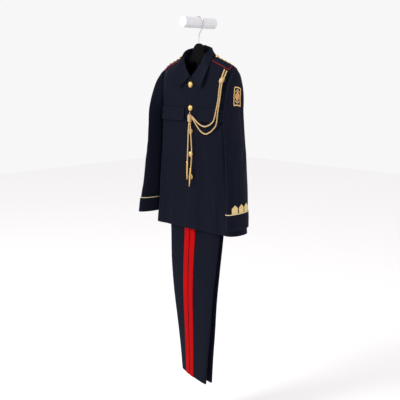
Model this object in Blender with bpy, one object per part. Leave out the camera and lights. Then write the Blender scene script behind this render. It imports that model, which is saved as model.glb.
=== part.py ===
"""Communion uniform: a child's dress jacket and trousers on one hanger, hung on a wall peg.

Metres. X runs to the viewer's right, Y into the wall, Z up. The origin is the centre of the peg's
back face, on the wall. Left and right in the names are the wearer's own.
"""
import math

import bmesh
import bpy
import numpy as np

for old_object in list(bpy.data.objects):
    bpy.data.objects.remove(old_object, do_unlink=True)

# Cloth and clearances
GAP = 0.0003
CLOTH = 0.002
TRIM = 0.0015
SIDES = (("left", 1.0), ("right", -1.0))

# Wall peg and hanger
PEG_RADIUS = 0.018
PEG_LENGTH = 0.146
PEG_EDGE = 0.0015
HANG_Y = -0.070
WIRE_RADIUS = 0.0018
HOOK_RADIUS = 0.0225
HOOK_TIP_ANGLE = 205.0
STEM_TOP = -0.044
STEM_BOTTOM = -0.0665
HANGER_HALF_THICKNESS = 0.0057
HUMP_HALF_WIDTH = 0.026
HUMP_TOP = -0.0670
ARM_REACH = 0.150
BAR_TOP = -0.262
BAR_BOTTOM = -0.278
BAR_HALF_LENGTH = 0.130
LINK_HALF_WIDTH = 0.007
CLIP_X = 0.100
CLIP_WIDTH = 0.034
CLIP_TOP = -0.260
CLIP_BOTTOM = -0.332
CLIP_THICKNESS = 0.004

# Jacket body below the armholes, one row for each level: height, sideways sway, half width,
# corner radius, depth of the front and depth of the back
HEM_Z = -0.700
ARMPIT_Z = -0.310
TORSO = (
    (-0.700, -0.006, 0.195, 0.028, -0.1035, -0.0075),
    (-0.610, -0.005, 0.186, 0.029, -0.1040, -0.0080),
    (-0.475, -0.004, 0.173, 0.030, -0.1045, -0.0090),
    (-0.367, -0.002, 0.165, 0.031, -0.1055, -0.0100),
    (-0.310, -0.001, 0.161, 0.032, -0.1055, -0.0110),
)
FLAT_SHARE = 0.68
CROWN = 0.0025
FRONT_OVERLAP = 0.010
FRONT_UNDERLAP = 0.012
OVERLAP_FADE = 0.045

# Neckline, shoulder seam and armhole
NECK_SHARE = 0.42
NECK_X = 0.066
NECK_Z = -0.110
NECK_FRONT_Z = -0.180
NECK_FRONT_Y = -0.1040
NECK_BACK_Z = -0.099
NECK_BACK_Y = -0.0475
SHOULDER_X = 0.165
SHOULDER_Z = -0.149
SHOULDER_ROUNDING = 10.5
ARMHOLE_BOW = 0.012
ARMHOLE_FRONT = 0.036
ARMHOLE_BACK = 0.030

# Soft folds of the jacket below the armholes: place, half breadth, depth at the hem
FRONT_FOLDS = ((-0.125, 0.020, 0.0030), (-0.060, 0.022, 0.0020), (0.070, 0.024, 0.0035),
               (0.135, 0.016, 0.0040))
BACK_FOLDS = ((-0.110, 0.022, 0.0040), (-0.035, 0.026, 0.0030), (0.050, 0.022, 0.0045),
              (0.120, 0.018, 0.0030))

# Sleeve rings below the armhole: outer edge (x, z), inner edge (x, z), depth of the centre (y),
# half depth and turn in degrees
SLEEVE = (
    (0.1765, -0.1690, 0.1640, -0.3150, -0.0765, 0.0430, 0.0),
    (0.1830, -0.2010, 0.1665, -0.3210, -0.0825, 0.0485, 2.0),
    (0.1865, -0.2500, 0.1690, -0.3320, -0.0880, 0.0535, 4.0),
    (0.1900, -0.3200, 0.1710, -0.3520, -0.0860, 0.0570, 6.0),
    (0.1980, -0.4000, 0.1735, -0.4100, -0.0845, 0.0590, 7.0),
    (0.2110, -0.4800, 0.1795, -0.4830, -0.0885, 0.0580, 7.0),
    (0.2225, -0.5600, 0.1880, -0.5610, -0.0945, 0.0565, 6.0),
    (0.2300, -0.6150, 0.1955, -0.6160, -0.1020, 0.0550, 5.0),
    (0.2360, -0.6625, 0.1995, -0.6635, -0.1060, 0.0540, 5.0),
)
SLEEVE_FORWARD = {"left": 0.007, "right": -0.007}
CUFF_TOP_Z = -0.6120
CUFF_BOTTOM_Z = -0.6620
CUFF_CORD_RADIUS = 0.0013
BRAID_PLACES = (0.031, 0.002, -0.027)
BRAID_HALF_WIDTH = 0.0118
BRAID_HEIGHT = 0.027
BRAID_SHOULDER = 0.64
BADGE_TOP_Z = -0.210
BADGE_HEIGHT = 0.060
BADGE_FRONT = 0.0100
BADGE_BACK = -0.0265

# Collar, from the centre back to the front tip: base of the stand, fold line and lower edge of
# the fall, each as x, y, z
COLLAR = (
    (0.0000, -0.0478, -0.0970, 0.0000, -0.0430, -0.0710, 0.0000, -0.0250, -0.1090),
    (0.0360, -0.0510, -0.0985, 0.0335, -0.0500, -0.0790, 0.0440, -0.0340, -0.1070),
    (0.0555, -0.0580, -0.1028, 0.0465, -0.0575, -0.0815, 0.0590, -0.0500, -0.1055),
    (0.0630, -0.0710, -0.1080, 0.0525, -0.0680, -0.0850, 0.0705, -0.0740, -0.1070),
    (0.0565, -0.0910, -0.1345, 0.0530, -0.0880, -0.0975, 0.0780, -0.1035, -0.1395),
    (0.0320, -0.1020, -0.1635, 0.0345, -0.1030, -0.1390, 0.0700, -0.1175, -0.1760),
    (0.0012, -0.1075, -0.1785, 0.0040, -0.1110, -0.1750, 0.0520, -0.1200, -0.2130),
)
FOLD_HALF = 0.0034
FOLD_DROP = 0.0022

# Pocket flaps and buttons
FLAP_INNER_X = 0.031
FLAP_OUTER_X = 0.143
FLAP_TOP_Z = -0.281
FLAP_BOTTOM_Z = -0.324
FLAP_ROUND = 0.014
FLAP_LIFT = 0.0013
FLAP_STAND = 0.0030
BUTTON_TOP_Z = -0.203
BUTTON_SPACING = 0.078
BUTTON_COUNT = 5
BUTTON_RADIUS = 0.0100
BUTTON_HEIGHT = 0.0075

# Epaulettes
STRAP_INNER_X = 0.0775
STRAP_OUTER_X = 0.1490
STRAP_DROP = 0.0105
STRAP_LIFT = 0.0011
STRAP_THICKNESS = 0.0025
STRAP_CORD_RADIUS = 0.0015
STRAP_BUTTON_X = 0.0845
STRAP_BUTTON_RADIUS = 0.0070
STAR_X = (0.1035, 0.1205, 0.1375)
STAR_RADIUS = 0.0062
STAR_HEIGHT = 0.0022

# Trousers, from the waist to the hems; the legs lie on each other, one before the other. Each row:
# height, centre (x, y), half width, turn in degrees and half distance between the two legs
TROUSERS = (
    (-0.310, -0.004, -0.0700, 0.145, 0.0, 0.0000),
    (-0.348, -0.004, -0.0700, 0.148, 0.0, 0.0010),
    (-0.450, -0.006, -0.0715, 0.146, 0.0, 0.0080),
    (-0.565, -0.008, -0.0730, 0.130, 0.0, 0.0095),
    (-0.720, -0.008, -0.0745, 0.120, 0.0, 0.0095),
    (-0.840, -0.011, -0.0785, 0.114, 2.0, 0.0100),
    (-0.950, -0.008, -0.0830, 0.106, 5.0, 0.0105),
    (-1.060, 0.002, -0.0885, 0.097, 8.5, 0.0110),
    (-1.160, 0.011, -0.0945, 0.088, 12.0, 0.0115),
    (-1.242, 0.017, -0.0985, 0.082, 14.5, 0.0120),
)
WAIST_TOP = -0.310
WAIST_BOTTOM = -0.346
CROTCH_Z = -0.565
HEM_LEG_Z = -1.242
LEG_HALF_THICKNESS = 0.0085
WAIST_HALF_THICKNESS = 0.0060
BAND_WIDTH = 0.0230
BAND_SPACE = 0.0045
BAND_OFFSET = -0.015

# Aiguillette
CORD_RADIUS = 0.0024
CORD_STEP = 0.0125
FRONT_CORD = (
    (0.1390, -0.0942, -0.1535), (0.1392, -0.1007, -0.1650), (0.1385, -0.1056, -0.1768),
    (0.1362, -0.1090, -0.1878), (0.1344, -0.1105, -0.2000), (0.1312, -0.1110, -0.2186),
    (0.1270, -0.1103, -0.2480), (0.1244, -0.1136, -0.2708), (0.1214, -0.1160, -0.2892),
    (0.1180, -0.1165, -0.3040), (0.1120, -0.1163, -0.3180), (0.0912, -0.1147, -0.3333),
    (0.0674, -0.1138, -0.3396), (0.0466, -0.1153, -0.3334), (0.0302, -0.1186, -0.3200),
    (0.0190, -0.1196, -0.3105), (0.0135, -0.1193, -0.3075),
)
BACK_CORD = (
    (0.1472, -0.0922, -0.1575), (0.1450, -0.0995, -0.1742), (0.1418, -0.1060, -0.1878),
    (0.1400, -0.1078, -0.2000), (0.1372, -0.1089, -0.2185), (0.1333, -0.1094, -0.2480),
    (0.1318, -0.1130, -0.2706), (0.1290, -0.1157, -0.2985), (0.1272, -0.1162, -0.3150),
    (0.1235, -0.1152, -0.3290), (0.1070, -0.1120, -0.3464), (0.0880, -0.1114, -0.3590),
    (0.0720, -0.1114, -0.3643), (0.0529, -0.1120, -0.3588), (0.0354, -0.1142, -0.3410),
    (0.0243, -0.1180, -0.3240), (0.0190, -0.1193, -0.3165), (0.0135, -0.1193, -0.3140),
)
SLIDER_HEIGHTS = (-0.1805, -0.1835, -0.1878, -0.1921, -0.1951)
SLIDER_WALLS = (0.0012, 0.0022, 0.0026, 0.0022, 0.0012)
SLIDER_CLEARANCE = 0.0007
KNOT_X = 0.0037
KNOT_Y = -0.1191
KNOT_TOP = -0.3010
KNOT_BOTTOM = -0.3290
KNOT_RADIUS = 0.0075
LOOP = ((0.0037, -0.1191, -0.3005), (0.0028, -0.1180, -0.2970), (0.0012, -0.1150, -0.2935))
LOOP_RADIUS = 0.0014
PENDANTS = {
    "left": ((0.0063, -0.1191, -0.3294), (0.0085, -0.1195, -0.3550), (0.0107, -0.1194, -0.3809),
             (0.0128, -0.1190, -0.4317), (0.0118, -0.1196, -0.4620), (0.0103, -0.1206, -0.4834)),
    "right": ((0.0012, -0.1191, -0.3294), (-0.0004, -0.1210, -0.3560), (-0.0025, -0.1212, -0.4054),
              (-0.0048, -0.1210, -0.4400), (-0.0053, -0.1212, -0.4605)),
}
PENDANT_RADIUS = 0.0022
TIP_LENGTH = 0.064
TIP_RADIUS = 0.0042

# Colours, roughness and metallic value of each material
NAVY = ((0.0105, 0.0125, 0.0235), 0.85, 0.0)
NAVY_TRIM = ((0.0120, 0.0140, 0.0270), 0.80, 0.0)
RED = ((0.62, 0.006, 0.010), 0.80, 0.0)
PIPING_RED = ((0.32, 0.010, 0.022), 0.75, 0.0)
GOLD_BRAID = ((0.60, 0.40, 0.12), 0.55, 0.3)
GOLD_CORD = ((0.64, 0.42, 0.17), 0.60, 0.1)
GOLD_METAL = ((0.83, 0.60, 0.28), 0.28, 1.0)
STEEL = ((0.70, 0.70, 0.72), 0.25, 1.0)
PLASTIC_BLACK = ((0.012, 0.012, 0.014), 0.35, 0.0)
PEG_PAINT = ((0.68, 0.68, 0.70), 0.45, 0.0)


def give_material(obj, look):
    """Give the object a material of its own."""
    colour, roughness, metallic = look
    material = bpy.data.materials.new(obj.name)
    material.use_nodes = True
    shader = material.node_tree.nodes["Principled BSDF"]
    shader.inputs["Base Color"].default_value = (*colour, 1.0)
    shader.inputs["Roughness"].default_value = roughness
    shader.inputs["Metallic"].default_value = metallic
    obj.data.materials.append(material)


def add_solid(name, points, faces, look, sharp_angle=40.0):
    """Make one closed body from points and faces, with its faces turned outward."""
    mesh = bpy.data.meshes.new(name)
    mesh.from_pydata([tuple(point) for point in points], [], faces)
    body = bmesh.new()
    body.from_mesh(mesh)
    bmesh.ops.recalc_face_normals(body, faces=body.faces)
    body.to_mesh(mesh)
    body.free()
    mesh.shade_smooth()
    mesh.set_sharp_from_angle(angle=math.radians(sharp_angle))
    obj = bpy.data.objects.new(name, mesh)
    bpy.context.scene.collection.objects.link(obj)
    give_material(obj, look)
    return obj


def wall(name, outer, inner, look, tube=False):
    """Close the space between two grids of points (rows, columns, xyz).

    A panel has a rim all round; a tube's columns join, and it has a rim at its two ends.
    """
    rows, columns = outer.shape[:2]
    count = rows * columns
    index = np.arange(count).reshape(rows, columns)
    if tube:
        index = np.hstack([index, index[:, :1]])
    a, b, c, d = index[:-1, :-1], index[:-1, 1:], index[1:, 1:], index[1:, :-1]
    skin = np.stack([a, b, c, d], axis=-1).reshape(-1, 4)
    faces = [*skin.tolist(), *(skin[:, ::-1] + count).tolist()]
    rims = [index[0], index[-1][::-1]]
    if not tube:
        rims += [index[::-1, 0], index[:, -1]]
    for rim in rims:
        pairs = zip(rim[:-1].tolist(), rim[1:].tolist())
        faces += [(second, first, first + count, second + count) for first, second in pairs]
    points = np.vstack([outer.reshape(-1, 3), inner.reshape(-1, 3)])
    return add_solid(name, points, faces, look)


def tube_curve(name, points, radius, look, sides_setting=2, closed=False):
    """A round cord along the points, with filled ends."""
    curve = bpy.data.curves.new(name, "CURVE")
    curve.dimensions = "3D"
    curve.bevel_depth = radius
    curve.bevel_resolution = sides_setting
    curve.use_fill_caps = True
    spline = curve.splines.new("POLY")
    spline.points.add(len(points) - 1)
    for spot, point in zip(spline.points, points):
        spot.co = (*point, 1.0)
    spline.use_cyclic_u = closed
    spline.use_smooth = True
    obj = bpy.data.objects.new(name, curve)
    bpy.context.scene.collection.objects.link(obj)
    give_material(obj, look)
    return obj


def turned(name, profile, look, place, axis, segments=14):
    """A body turned about an axis, from (radius, height) pairs that start and end on the axis."""
    axis = np.asarray(axis, float) / np.linalg.norm(axis)
    helper = np.array([1.0, 0.0, 0.0]) if abs(axis[0]) < 0.8 else np.array([0.0, 1.0, 0.0])
    across = np.cross(axis, helper)
    across /= np.linalg.norm(across)
    other = np.cross(axis, across)
    angles = np.arange(segments) * 2 * math.pi / segments
    spokes = np.outer(np.cos(angles), across) + np.outer(np.sin(angles), other)
    rings = [place + axis * height + spokes * radius for radius, height in profile[1:-1]]
    points = np.vstack([place + axis * profile[0][1], *rings, place + axis * profile[-1][1]])
    faces = []
    last = len(points) - 1
    for k in range(segments):
        following = (k + 1) % segments
        faces.append((0, 1 + k, 1 + following))
        base = last - segments
        faces.append((base + k, last, base + following))
        for ring in range(len(rings) - 1):
            low = 1 + ring * segments
            faces.append((low + k, low + segments + k, low + segments + following, low + following))
    return add_solid(name, points, faces, look)


def through(table, value, column=0):
    """Smooth values of every column of a table where its key column has the given value."""
    rows = np.asarray(table, float)
    if rows[0, column] > rows[-1, column]:
        rows = rows[::-1]
    keys = rows[:, column]
    slopes = np.gradient(rows, keys, axis=0)
    value = float(np.clip(value, keys[0], keys[-1]))
    k = min(int(np.searchsorted(keys, value, side="right")) - 1, len(keys) - 2)
    span = keys[k + 1] - keys[k]
    u = (value - keys[k]) / span
    return (rows[k] * (2 * u ** 3 - 3 * u ** 2 + 1) + rows[k + 1] * (3 * u ** 2 - 2 * u ** 3)
            + slopes[k] * span * (u ** 3 - 2 * u ** 2 + u)
            + slopes[k + 1] * span * (u ** 3 - u ** 2))


def smooth_route(route, step):
    """Evenly spaced points of a smooth curve through the route's points."""
    route = np.asarray(route, float)
    lengths = np.concatenate([[0.0], np.cumsum(np.linalg.norm(np.diff(route, axis=0), axis=1))])
    table = np.column_stack([lengths, route])
    fine = np.array([through(table, s)[1:] for s in np.linspace(0, lengths[-1], 400)])
    along = np.concatenate([[0.0], np.cumsum(np.linalg.norm(np.diff(fine, axis=0), axis=1))])
    count = max(4, round(along[-1] / step) + 1)
    even = np.linspace(0, along[-1], count)
    return np.column_stack([np.interp(even, along, fine[:, axis]) for axis in range(3)])


def fade(value, start, end):
    """Smooth change from 1 at the start to 0 at the end."""
    u = min(max((value - start) / (end - start), 0.0), 1.0)
    return 1 - u * u * (3 - 2 * u)


def grid_normals(grid, away_from):
    """Unit normals of a grid of points, on the side that faces away from a point."""
    along = np.gradient(grid, axis=0)
    across = np.gradient(grid, axis=1)
    normals = np.cross(along, across)
    normals /= np.maximum(np.linalg.norm(normals, axis=2, keepdims=True), 1e-12)
    toward = np.sum(normals * (grid - np.asarray(away_from)), axis=2).mean()
    return normals if toward > 0 else -normals


def fold_depth(x, z, folds):
    """How far the soft folds draw the cloth in, growing from the armholes to the hem."""
    grow = min(max((ARMPIT_Z - z) / (ARMPIT_Z - HEM_Z), 0.0), 1.0) ** 1.4
    return grow * sum(depth * math.exp(-((x - place) / breadth) ** 2)
                      for place, breadth, depth in folds)


def ring_point(t, z, side, front):
    """Jacket body below the armholes: t runs from the centre line (0) to the side seam (1).

    The section is flat across the front and back, with a quarter of an ellipse at each side.
    """
    _, sway, half_width, corner, front_y, back_y = through(TORSO, z)
    middle_y = 0.5 * (front_y + back_y)
    reach = (front_y if front else back_y) - middle_y
    flat = half_width - corner
    if t < FLAT_SHARE:
        x = flat * t / FLAT_SHARE
        y = middle_y + reach
    else:
        angle = (t - FLAT_SHARE) / (1 - FLAT_SHARE) * math.pi / 2
        x = flat + corner * math.sin(angle)
        y = middle_y + reach * math.cos(angle)
    bulge = CROWN * (1 - min(abs(x) / half_width, 1.0) ** 2)
    y += math.copysign(bulge, reach)
    folds = FRONT_FOLDS if front else BACK_FOLDS
    y -= math.copysign(fold_depth(side * x, z, folds) * fade(abs(x), flat, half_width), reach)
    return np.array([side * x + sway, y, z])


def top_point(t, side, front):
    """Upper edge of a body panel: the neckline, then the shoulder seam."""
    if t < NECK_SHARE:
        angle = abs(t) / NECK_SHARE * math.pi / 2
        x = NECK_X * math.sin(angle) * (1 if t >= 0 else -1)
        centre_z = NECK_FRONT_Z if front else NECK_BACK_Z
        centre_y = NECK_FRONT_Y if front else NECK_BACK_Y
        rise = 1 - math.cos(angle)
        z = centre_z + (NECK_Z - centre_z) * rise
        y = centre_y + (HANG_Y - centre_y) * rise ** 1.3
        return np.array([side * x, y, z])
    share = (t - NECK_SHARE) / (1 - NECK_SHARE)
    x = NECK_X + (SHOULDER_X - NECK_X) * share
    z = NECK_Z + (SHOULDER_Z - NECK_Z) * share
    return np.array([side * x, HANG_Y, z])


def body_point(t, r, side, front):
    """Outer face of the jacket body; r is 0 at the hem, 1 at the armpit, 2 at the upper edge."""
    if r <= 1:
        return ring_point(t, HEM_Z + (ARMPIT_Z - HEM_Z) * r, side, front)
    s = r - 1
    low = ring_point(t, ARMPIT_Z, side, front)
    high = top_point(t, side, front)
    point = low + (high - low) * s
    point[1] = low[1] + (high[1] - low[1]) * s ** SHOULDER_ROUNDING
    hump = max(4 * s * (1 - s), 0.0)
    edge = max(t, 0.0) ** 3
    point[0] -= side * ARMHOLE_BOW * hump * edge
    turned_share = max(0.0, (t - FLAT_SHARE) / (1 - FLAT_SHARE)) ** 1.5
    reach = -ARMHOLE_FRONT if front else ARMHOLE_BACK
    point[1] += reach * hump ** 0.75 * turned_share
    return point


def locate(x, z, side, front=True):
    """Surface coordinates (t, r) of the body point with the given distance from centre and height."""
    t, r = x / 0.16 * FLAT_SHARE, 1.0
    for _ in range(12):
        here = body_point(t, r, side, front)
        t += (x - side * here[0]) / 0.2
        if r <= 1:
            r += (z - here[2]) / (ARMPIT_Z - HEM_Z)
        else:
            r += (z - here[2]) / (top_point(t, side, front)[2] - ARMPIT_Z)
        t = min(max(t, -0.2), 1.0)
        r = min(max(r, 0.0), 2.0)
    return t, r


def on_front(x, z, side, lift=0.0):
    """Point of the jacket front moved out by lift, with the outward direction there."""
    t, r = locate(x, z, side)
    step = 0.01
    here = body_point(t, r, side, True)
    across = body_point(t + step, r, side, True) - body_point(t - step, r, side, True)
    up = body_point(t, r + step, side, True) - body_point(t, r - step, side, True)
    normal = np.cross(across, up) * side
    normal /= np.linalg.norm(normal)
    if normal[1] > 0:
        normal = -normal
    return here + normal * lift, normal


def overlap_rise(t, r, side):
    """How far the left front stands out where it laps over the right one."""
    x = body_point(t, r, side, True)[0]
    return (CLOTH + GAP) * fade(x, FRONT_UNDERLAP + 0.004, OVERLAP_FADE) if side > 0 else 0.0


LOWER_ROWS = np.linspace(0.0, 1.0, 8)
UPPER_ROWS = 1 + np.array([0.12, 0.25, 0.38, 0.50, 0.63, 0.76, 0.86, 0.93, 0.972, 1.0])
BODY_ROWS = np.concatenate([LOWER_ROWS, UPPER_ROWS])
ARMHOLE_ROWS = np.concatenate([[1.0], UPPER_ROWS])
FLAT_STEPS = np.array([0.14, 0.28, 0.42, 0.56, 0.68])
SIDE_STEPS = np.array([0.76, 0.84, 0.92])
SEAM = 0.0018
SHOULDER_MITRE = 0.0034
armhole_edges = {}


def body_panel(columns, side, front):
    """Outer and inner faces of one panel of the jacket body, mitred at its seams."""
    outer = np.array([[body_point(t, r, side, front) for t in columns] for r in BODY_ROWS])
    normals = grid_normals(outer, (0.0, -0.06, -0.45))
    if front:
        rise = np.array([[overlap_rise(t, r, side) for t in columns] for r in BODY_ROWS])
        outer = outer + normals * rise[:, :, None]
    inner = outer - normals * CLOTH
    below_armhole = len(LOWER_ROWS)
    inner[:below_armhole, -1] = outer[:below_armhole, -1] - np.array([side * CLOTH, 0.0, 0.0])
    shoulder = np.array([t >= NECK_SHARE - 0.02 for t in columns])
    inner[-1, shoulder] = outer[-1, shoulder] - np.array([0.0, 0.0, SHOULDER_MITRE])
    away = np.array([0.0, -GAP if front else GAP, 0.0])
    outer[below_armhole:] += away
    inner[below_armhole:] += away
    return outer, inner


FIRST_ARMHOLE_ROW = len(LOWER_ROWS) - 1
for side_name, side in SIDES:
    lap = (FRONT_OVERLAP if side > 0 else FRONT_UNDERLAP) / 0.14 * FLAT_SHARE
    columns = np.concatenate([[-lap, -lap / 2, 0.0, 0.05], FLAT_STEPS, SIDE_STEPS, [1 - SEAM]])
    outer, inner = body_panel(columns, side, True)
    wall("jacket_front_" + side_name, outer, inner, NAVY)
    armhole_edges[side_name, "front"] = (outer[FIRST_ARMHOLE_ROW:, -1],
                                         inner[FIRST_ARMHOLE_ROW:, -1])

half = np.concatenate([[0.0], FLAT_STEPS, SIDE_STEPS, [1 - SEAM]])
left_outer, left_inner = body_panel(half, 1.0, False)
right_outer, right_inner = body_panel(half, -1.0, False)
back_outer = np.concatenate([right_outer[:, :0:-1], left_outer], axis=1)
back_inner = np.concatenate([right_inner[:, :0:-1], left_inner], axis=1)
back_inner[:, len(half) - 1, 0] = back_outer[:, len(half) - 1, 0]
wall("jacket_back", back_outer, back_inner, NAVY)
for side_name, column in (("left", -1), ("right", 0)):
    armhole_edges[side_name, "back"] = (back_outer[FIRST_ARMHOLE_ROW:, column],
                                        back_inner[FIRST_ARMHOLE_ROW:, column])


def sleeve_frame(row, side_name, side):
    """Centre, outward half axis and forward half axis of one sleeve ring."""
    outer_x, outer_z, inner_x, inner_z, y, half_depth, turn = row
    centre = np.array([side * (outer_x + inner_x) / 2, y, (outer_z + inner_z) / 2])
    out = np.array([side * (outer_x - inner_x) / 2, 0.0, (outer_z - inner_z) / 2])
    angle = math.radians(turn)
    forward = np.array([side * half_depth * math.sin(angle), -half_depth * math.cos(angle), 0.0])
    share = min(1.0, max(0.0, (-0.17 - centre[2]) / 0.15))
    centre[1] -= SLEEVE_FORWARD[side_name] * share
    return centre, out, forward


def sleeve_rows(side_name, side):
    return [sleeve_frame(row, side_name, side) for row in SLEEVE]


def sleeve_ring(frame_row, angles, lift):
    """Points of one sleeve ring, with its half axes made longer by lift; angle 0 is outward."""
    centre, out, forward = frame_row
    out = out * (1 + lift / np.linalg.norm(out))
    forward = forward * (1 + lift / np.linalg.norm(forward))
    return centre + np.outer(np.cos(angles), out) + np.outer(np.sin(angles), forward)


def sleeve_at(z, side_name, side):
    """Sleeve ring whose outer edge is at a height, on the straight walls between two rings."""
    heights = [row[1] for row in SLEEVE][::-1]
    rows = np.array([np.concatenate(row) for row in sleeve_rows(side_name, side)])[::-1]
    values = np.array([np.interp(z, heights, rows[:, column]) for column in range(9)])
    return values[0:3], values[3:6], values[6:9]


rise_share = ARMHOLE_ROWS - 1
quarter = np.arccos(np.clip(2 * rise_share[::-1] - 1, -1, 1))
SLEEVE_ANGLES = np.concatenate([quarter, (2 * math.pi - quarter[1:-1])[::-1]])

for side_name, side in SIDES:
    rings_outer, rings_inner = [], []
    for layer, rings in ((0, rings_outer), (1, rings_inner)):
        front_edge = armhole_edges[side_name, "front"][layer][::-1]
        back_edge = armhole_edges[side_name, "back"][layer]
        edge = np.vstack([front_edge, back_edge[1:-1]])
        edge[0] = (front_edge[0] + back_edge[-1]) / 2
        edge[len(front_edge) - 1] = (front_edge[-1] + back_edge[0]) / 2
        rings.append(edge + np.array([side * 2.5 * GAP, 0.0, 0.0]))
    for frame_row in sleeve_rows(side_name, side):
        rings_outer.append(sleeve_ring(frame_row, SLEEVE_ANGLES, 0.0))
        rings_inner.append(sleeve_ring(frame_row, SLEEVE_ANGLES, -CLOTH))
    wall("sleeve_" + side_name, np.array(rings_outer), np.array(rings_inner), NAVY, tube=True)

    cuff_heights = np.linspace(CUFF_TOP_Z, CUFF_BOTTOM_Z, 3)
    cuff_angles = np.linspace(0, 2 * math.pi, 20, endpoint=False)
    cuff = [sleeve_at(z, side_name, side) for z in cuff_heights]
    cuff_outer = np.array([sleeve_ring(row, cuff_angles, 2 * GAP + CLOTH) for row in cuff])
    cuff_inner = np.array([sleeve_ring(row, cuff_angles, 2 * GAP) for row in cuff])
    wall("cuff_" + side_name, cuff_outer, cuff_inner, NAVY, tube=True)

    top_ring = sleeve_ring(sleeve_at(CUFF_TOP_Z + CUFF_CORD_RADIUS + 2 * GAP, side_name, side),
                           cuff_angles, 3 * GAP + CUFF_CORD_RADIUS)
    tube_curve("cuff_piping_" + side_name, top_ring, CUFF_CORD_RADIUS, GOLD_BRAID, 1, closed=True)


def sleeve_patch(name, side_name, side, turns, height_at, bottom_z, lift, thickness, look, rows=4):
    """A piece sewn on the sleeve: columns at the given angles, each with its own height."""
    grids = []
    for offset in (lift + thickness, lift):
        grid = []
        for k in range(rows):
            row = []
            for turn, height in zip(turns, height_at):
                ring = sleeve_at(bottom_z + height * k / (rows - 1), side_name, side)
                row.append(sleeve_ring(ring, np.array([turn]), offset)[0])
            grid.append(row)
        grids.append(np.array(grid))
    return wall(name, grids[0], grids[1], look)


for side_name, side in SIDES:
    ring = sleeve_at(CUFF_TOP_Z, side_name, side)
    around = np.radians(np.linspace(-90, 90, 181))
    outline = sleeve_ring(ring, around, 0.0)
    arc = np.concatenate([[0.0], np.cumsum(np.linalg.norm(np.diff(outline, axis=0), axis=1))])
    arc -= np.interp(0.0, around, arc)
    for number, place in enumerate(BRAID_PLACES, start=1):
        across = np.array([-1.0, -0.5, 0.0, 0.5, 1.0])
        turns = np.interp(place + across * BRAID_HALF_WIDTH, arc, around)
        heights = BRAID_HEIGHT * (BRAID_SHOULDER + (1 - BRAID_SHOULDER) * (1 - np.abs(across)))
        sleeve_patch(f"cuff_bar_{side_name}_{number}", side_name, side, turns, heights,
                     CUFF_TOP_Z + 2 * CUFF_CORD_RADIUS + 3 * GAP, 2 * GAP, TRIM, GOLD_BRAID)

badge_ring = sleeve_at(BADGE_TOP_Z - BADGE_HEIGHT / 2, "left", 1.0)
around = np.radians(np.linspace(-90, 90, 181))
outline = sleeve_ring(badge_ring, around, 0.0)
arc = np.concatenate([[0.0], np.cumsum(np.linalg.norm(np.diff(outline, axis=0), axis=1))])
arc -= np.interp(0.0, around, arc)
badge_turns = np.interp(np.linspace(BADGE_BACK, BADGE_FRONT, 6), arc, around)
sleeve_patch("arm_badge", "left", 1.0, badge_turns, np.full(6, BADGE_HEIGHT),
             BADGE_TOP_Z - BADGE_HEIGHT, 3 * GAP, TRIM, GOLD_BRAID, rows=4)


def collar_rows(side):
    """Grid across the collar: up the neck side of the stand, over the fold, down the fall."""
    table = np.asarray(COLLAR, float)
    lengths = np.concatenate([[0.0], np.cumsum(np.linalg.norm(np.diff(table[:, 3:6], axis=0), axis=1))])
    keyed = np.column_stack([lengths, table])
    stations = []
    for s in np.linspace(0, lengths[-1], 12):
        values = through(keyed, s)[1:]
        base, fold, edge = values[0:3], values[3:6], values[6:9]
        away = edge - fold
        away[2] = 0.0
        away /= np.linalg.norm(away)
        drop = np.array([0.0, 0.0, -FOLD_DROP])
        neck_side = fold - away * FOLD_HALF + drop
        fall_side = fold + away * FOLD_HALF + drop
        column = [base, (base + neck_side) / 2, neck_side, fold, fall_side]
        column += [fall_side + (edge - fall_side) * share for share in (0.33, 0.67, 1.0)]
        stations.append(column)
    grid = np.array(stations).transpose(1, 0, 2)
    grid[:, :, 0] *= side
    return grid


right_collar, left_collar = collar_rows(-1.0), collar_rows(1.0)
collar_outer = np.concatenate([right_collar[:, :0:-1], left_collar], axis=1)
along = np.gradient(collar_outer, axis=0)
across = np.gradient(collar_outer, axis=1)
collar_normals = np.cross(along, across)
collar_normals /= np.linalg.norm(collar_normals, axis=2, keepdims=True)
if collar_normals[3, :, 2].mean() < 0:
    collar_normals = -collar_normals
wall("collar", collar_outer, collar_outer - collar_normals * CLOTH, NAVY)

for side_name, side in SIDES:
    flap_grids = []
    for thickness in (CLOTH, 0.0):
        rows = []
        for share in np.linspace(0.0, 1.0, 4):
            row = []
            for place in np.linspace(0.0, 1.0, 9):
                x = FLAP_INNER_X + (FLAP_OUTER_X - FLAP_INNER_X) * place
                from_end = min(x - FLAP_INNER_X, FLAP_OUTER_X - x) / FLAP_ROUND
                rounding = FLAP_ROUND * 0.6 * (1 - math.sqrt(1 - (1 - min(from_end, 1.0)) ** 2))
                bottom = FLAP_BOTTOM_Z + rounding
                z = FLAP_TOP_Z + (bottom - FLAP_TOP_Z) * share
                t, r = locate(x, z, side)
                lift = overlap_rise(t, r, side) + FLAP_LIFT + FLAP_STAND * share ** 2 + thickness
                row.append(on_front(x, z, side, lift)[0])
            rows.append(row)
        flap_grids.append(np.array(rows))
    wall("pocket_flap_" + side_name, flap_grids[0], flap_grids[1], NAVY)


def button_profile(radius, height):
    """Flat back, short rim, domed front."""
    dome = [(radius * math.cos(a), height * (0.25 + 0.75 * math.sin(a)))
            for a in np.radians([0.0, 35.0, 65.0])]
    return [(0.0, 0.0), (radius * 0.9, 0.0), *dome, (0.0, height)]


for number in range(1, BUTTON_COUNT + 1):
    z = BUTTON_TOP_Z - BUTTON_SPACING * (number - 1)
    place, normal = on_front(0.0, z, 1.0, CLOTH + 3 * GAP)
    turned(f"front_button_{number}", button_profile(BUTTON_RADIUS, BUTTON_HEIGHT), GOLD_METAL,
           place, normal, segments=12)


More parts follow.
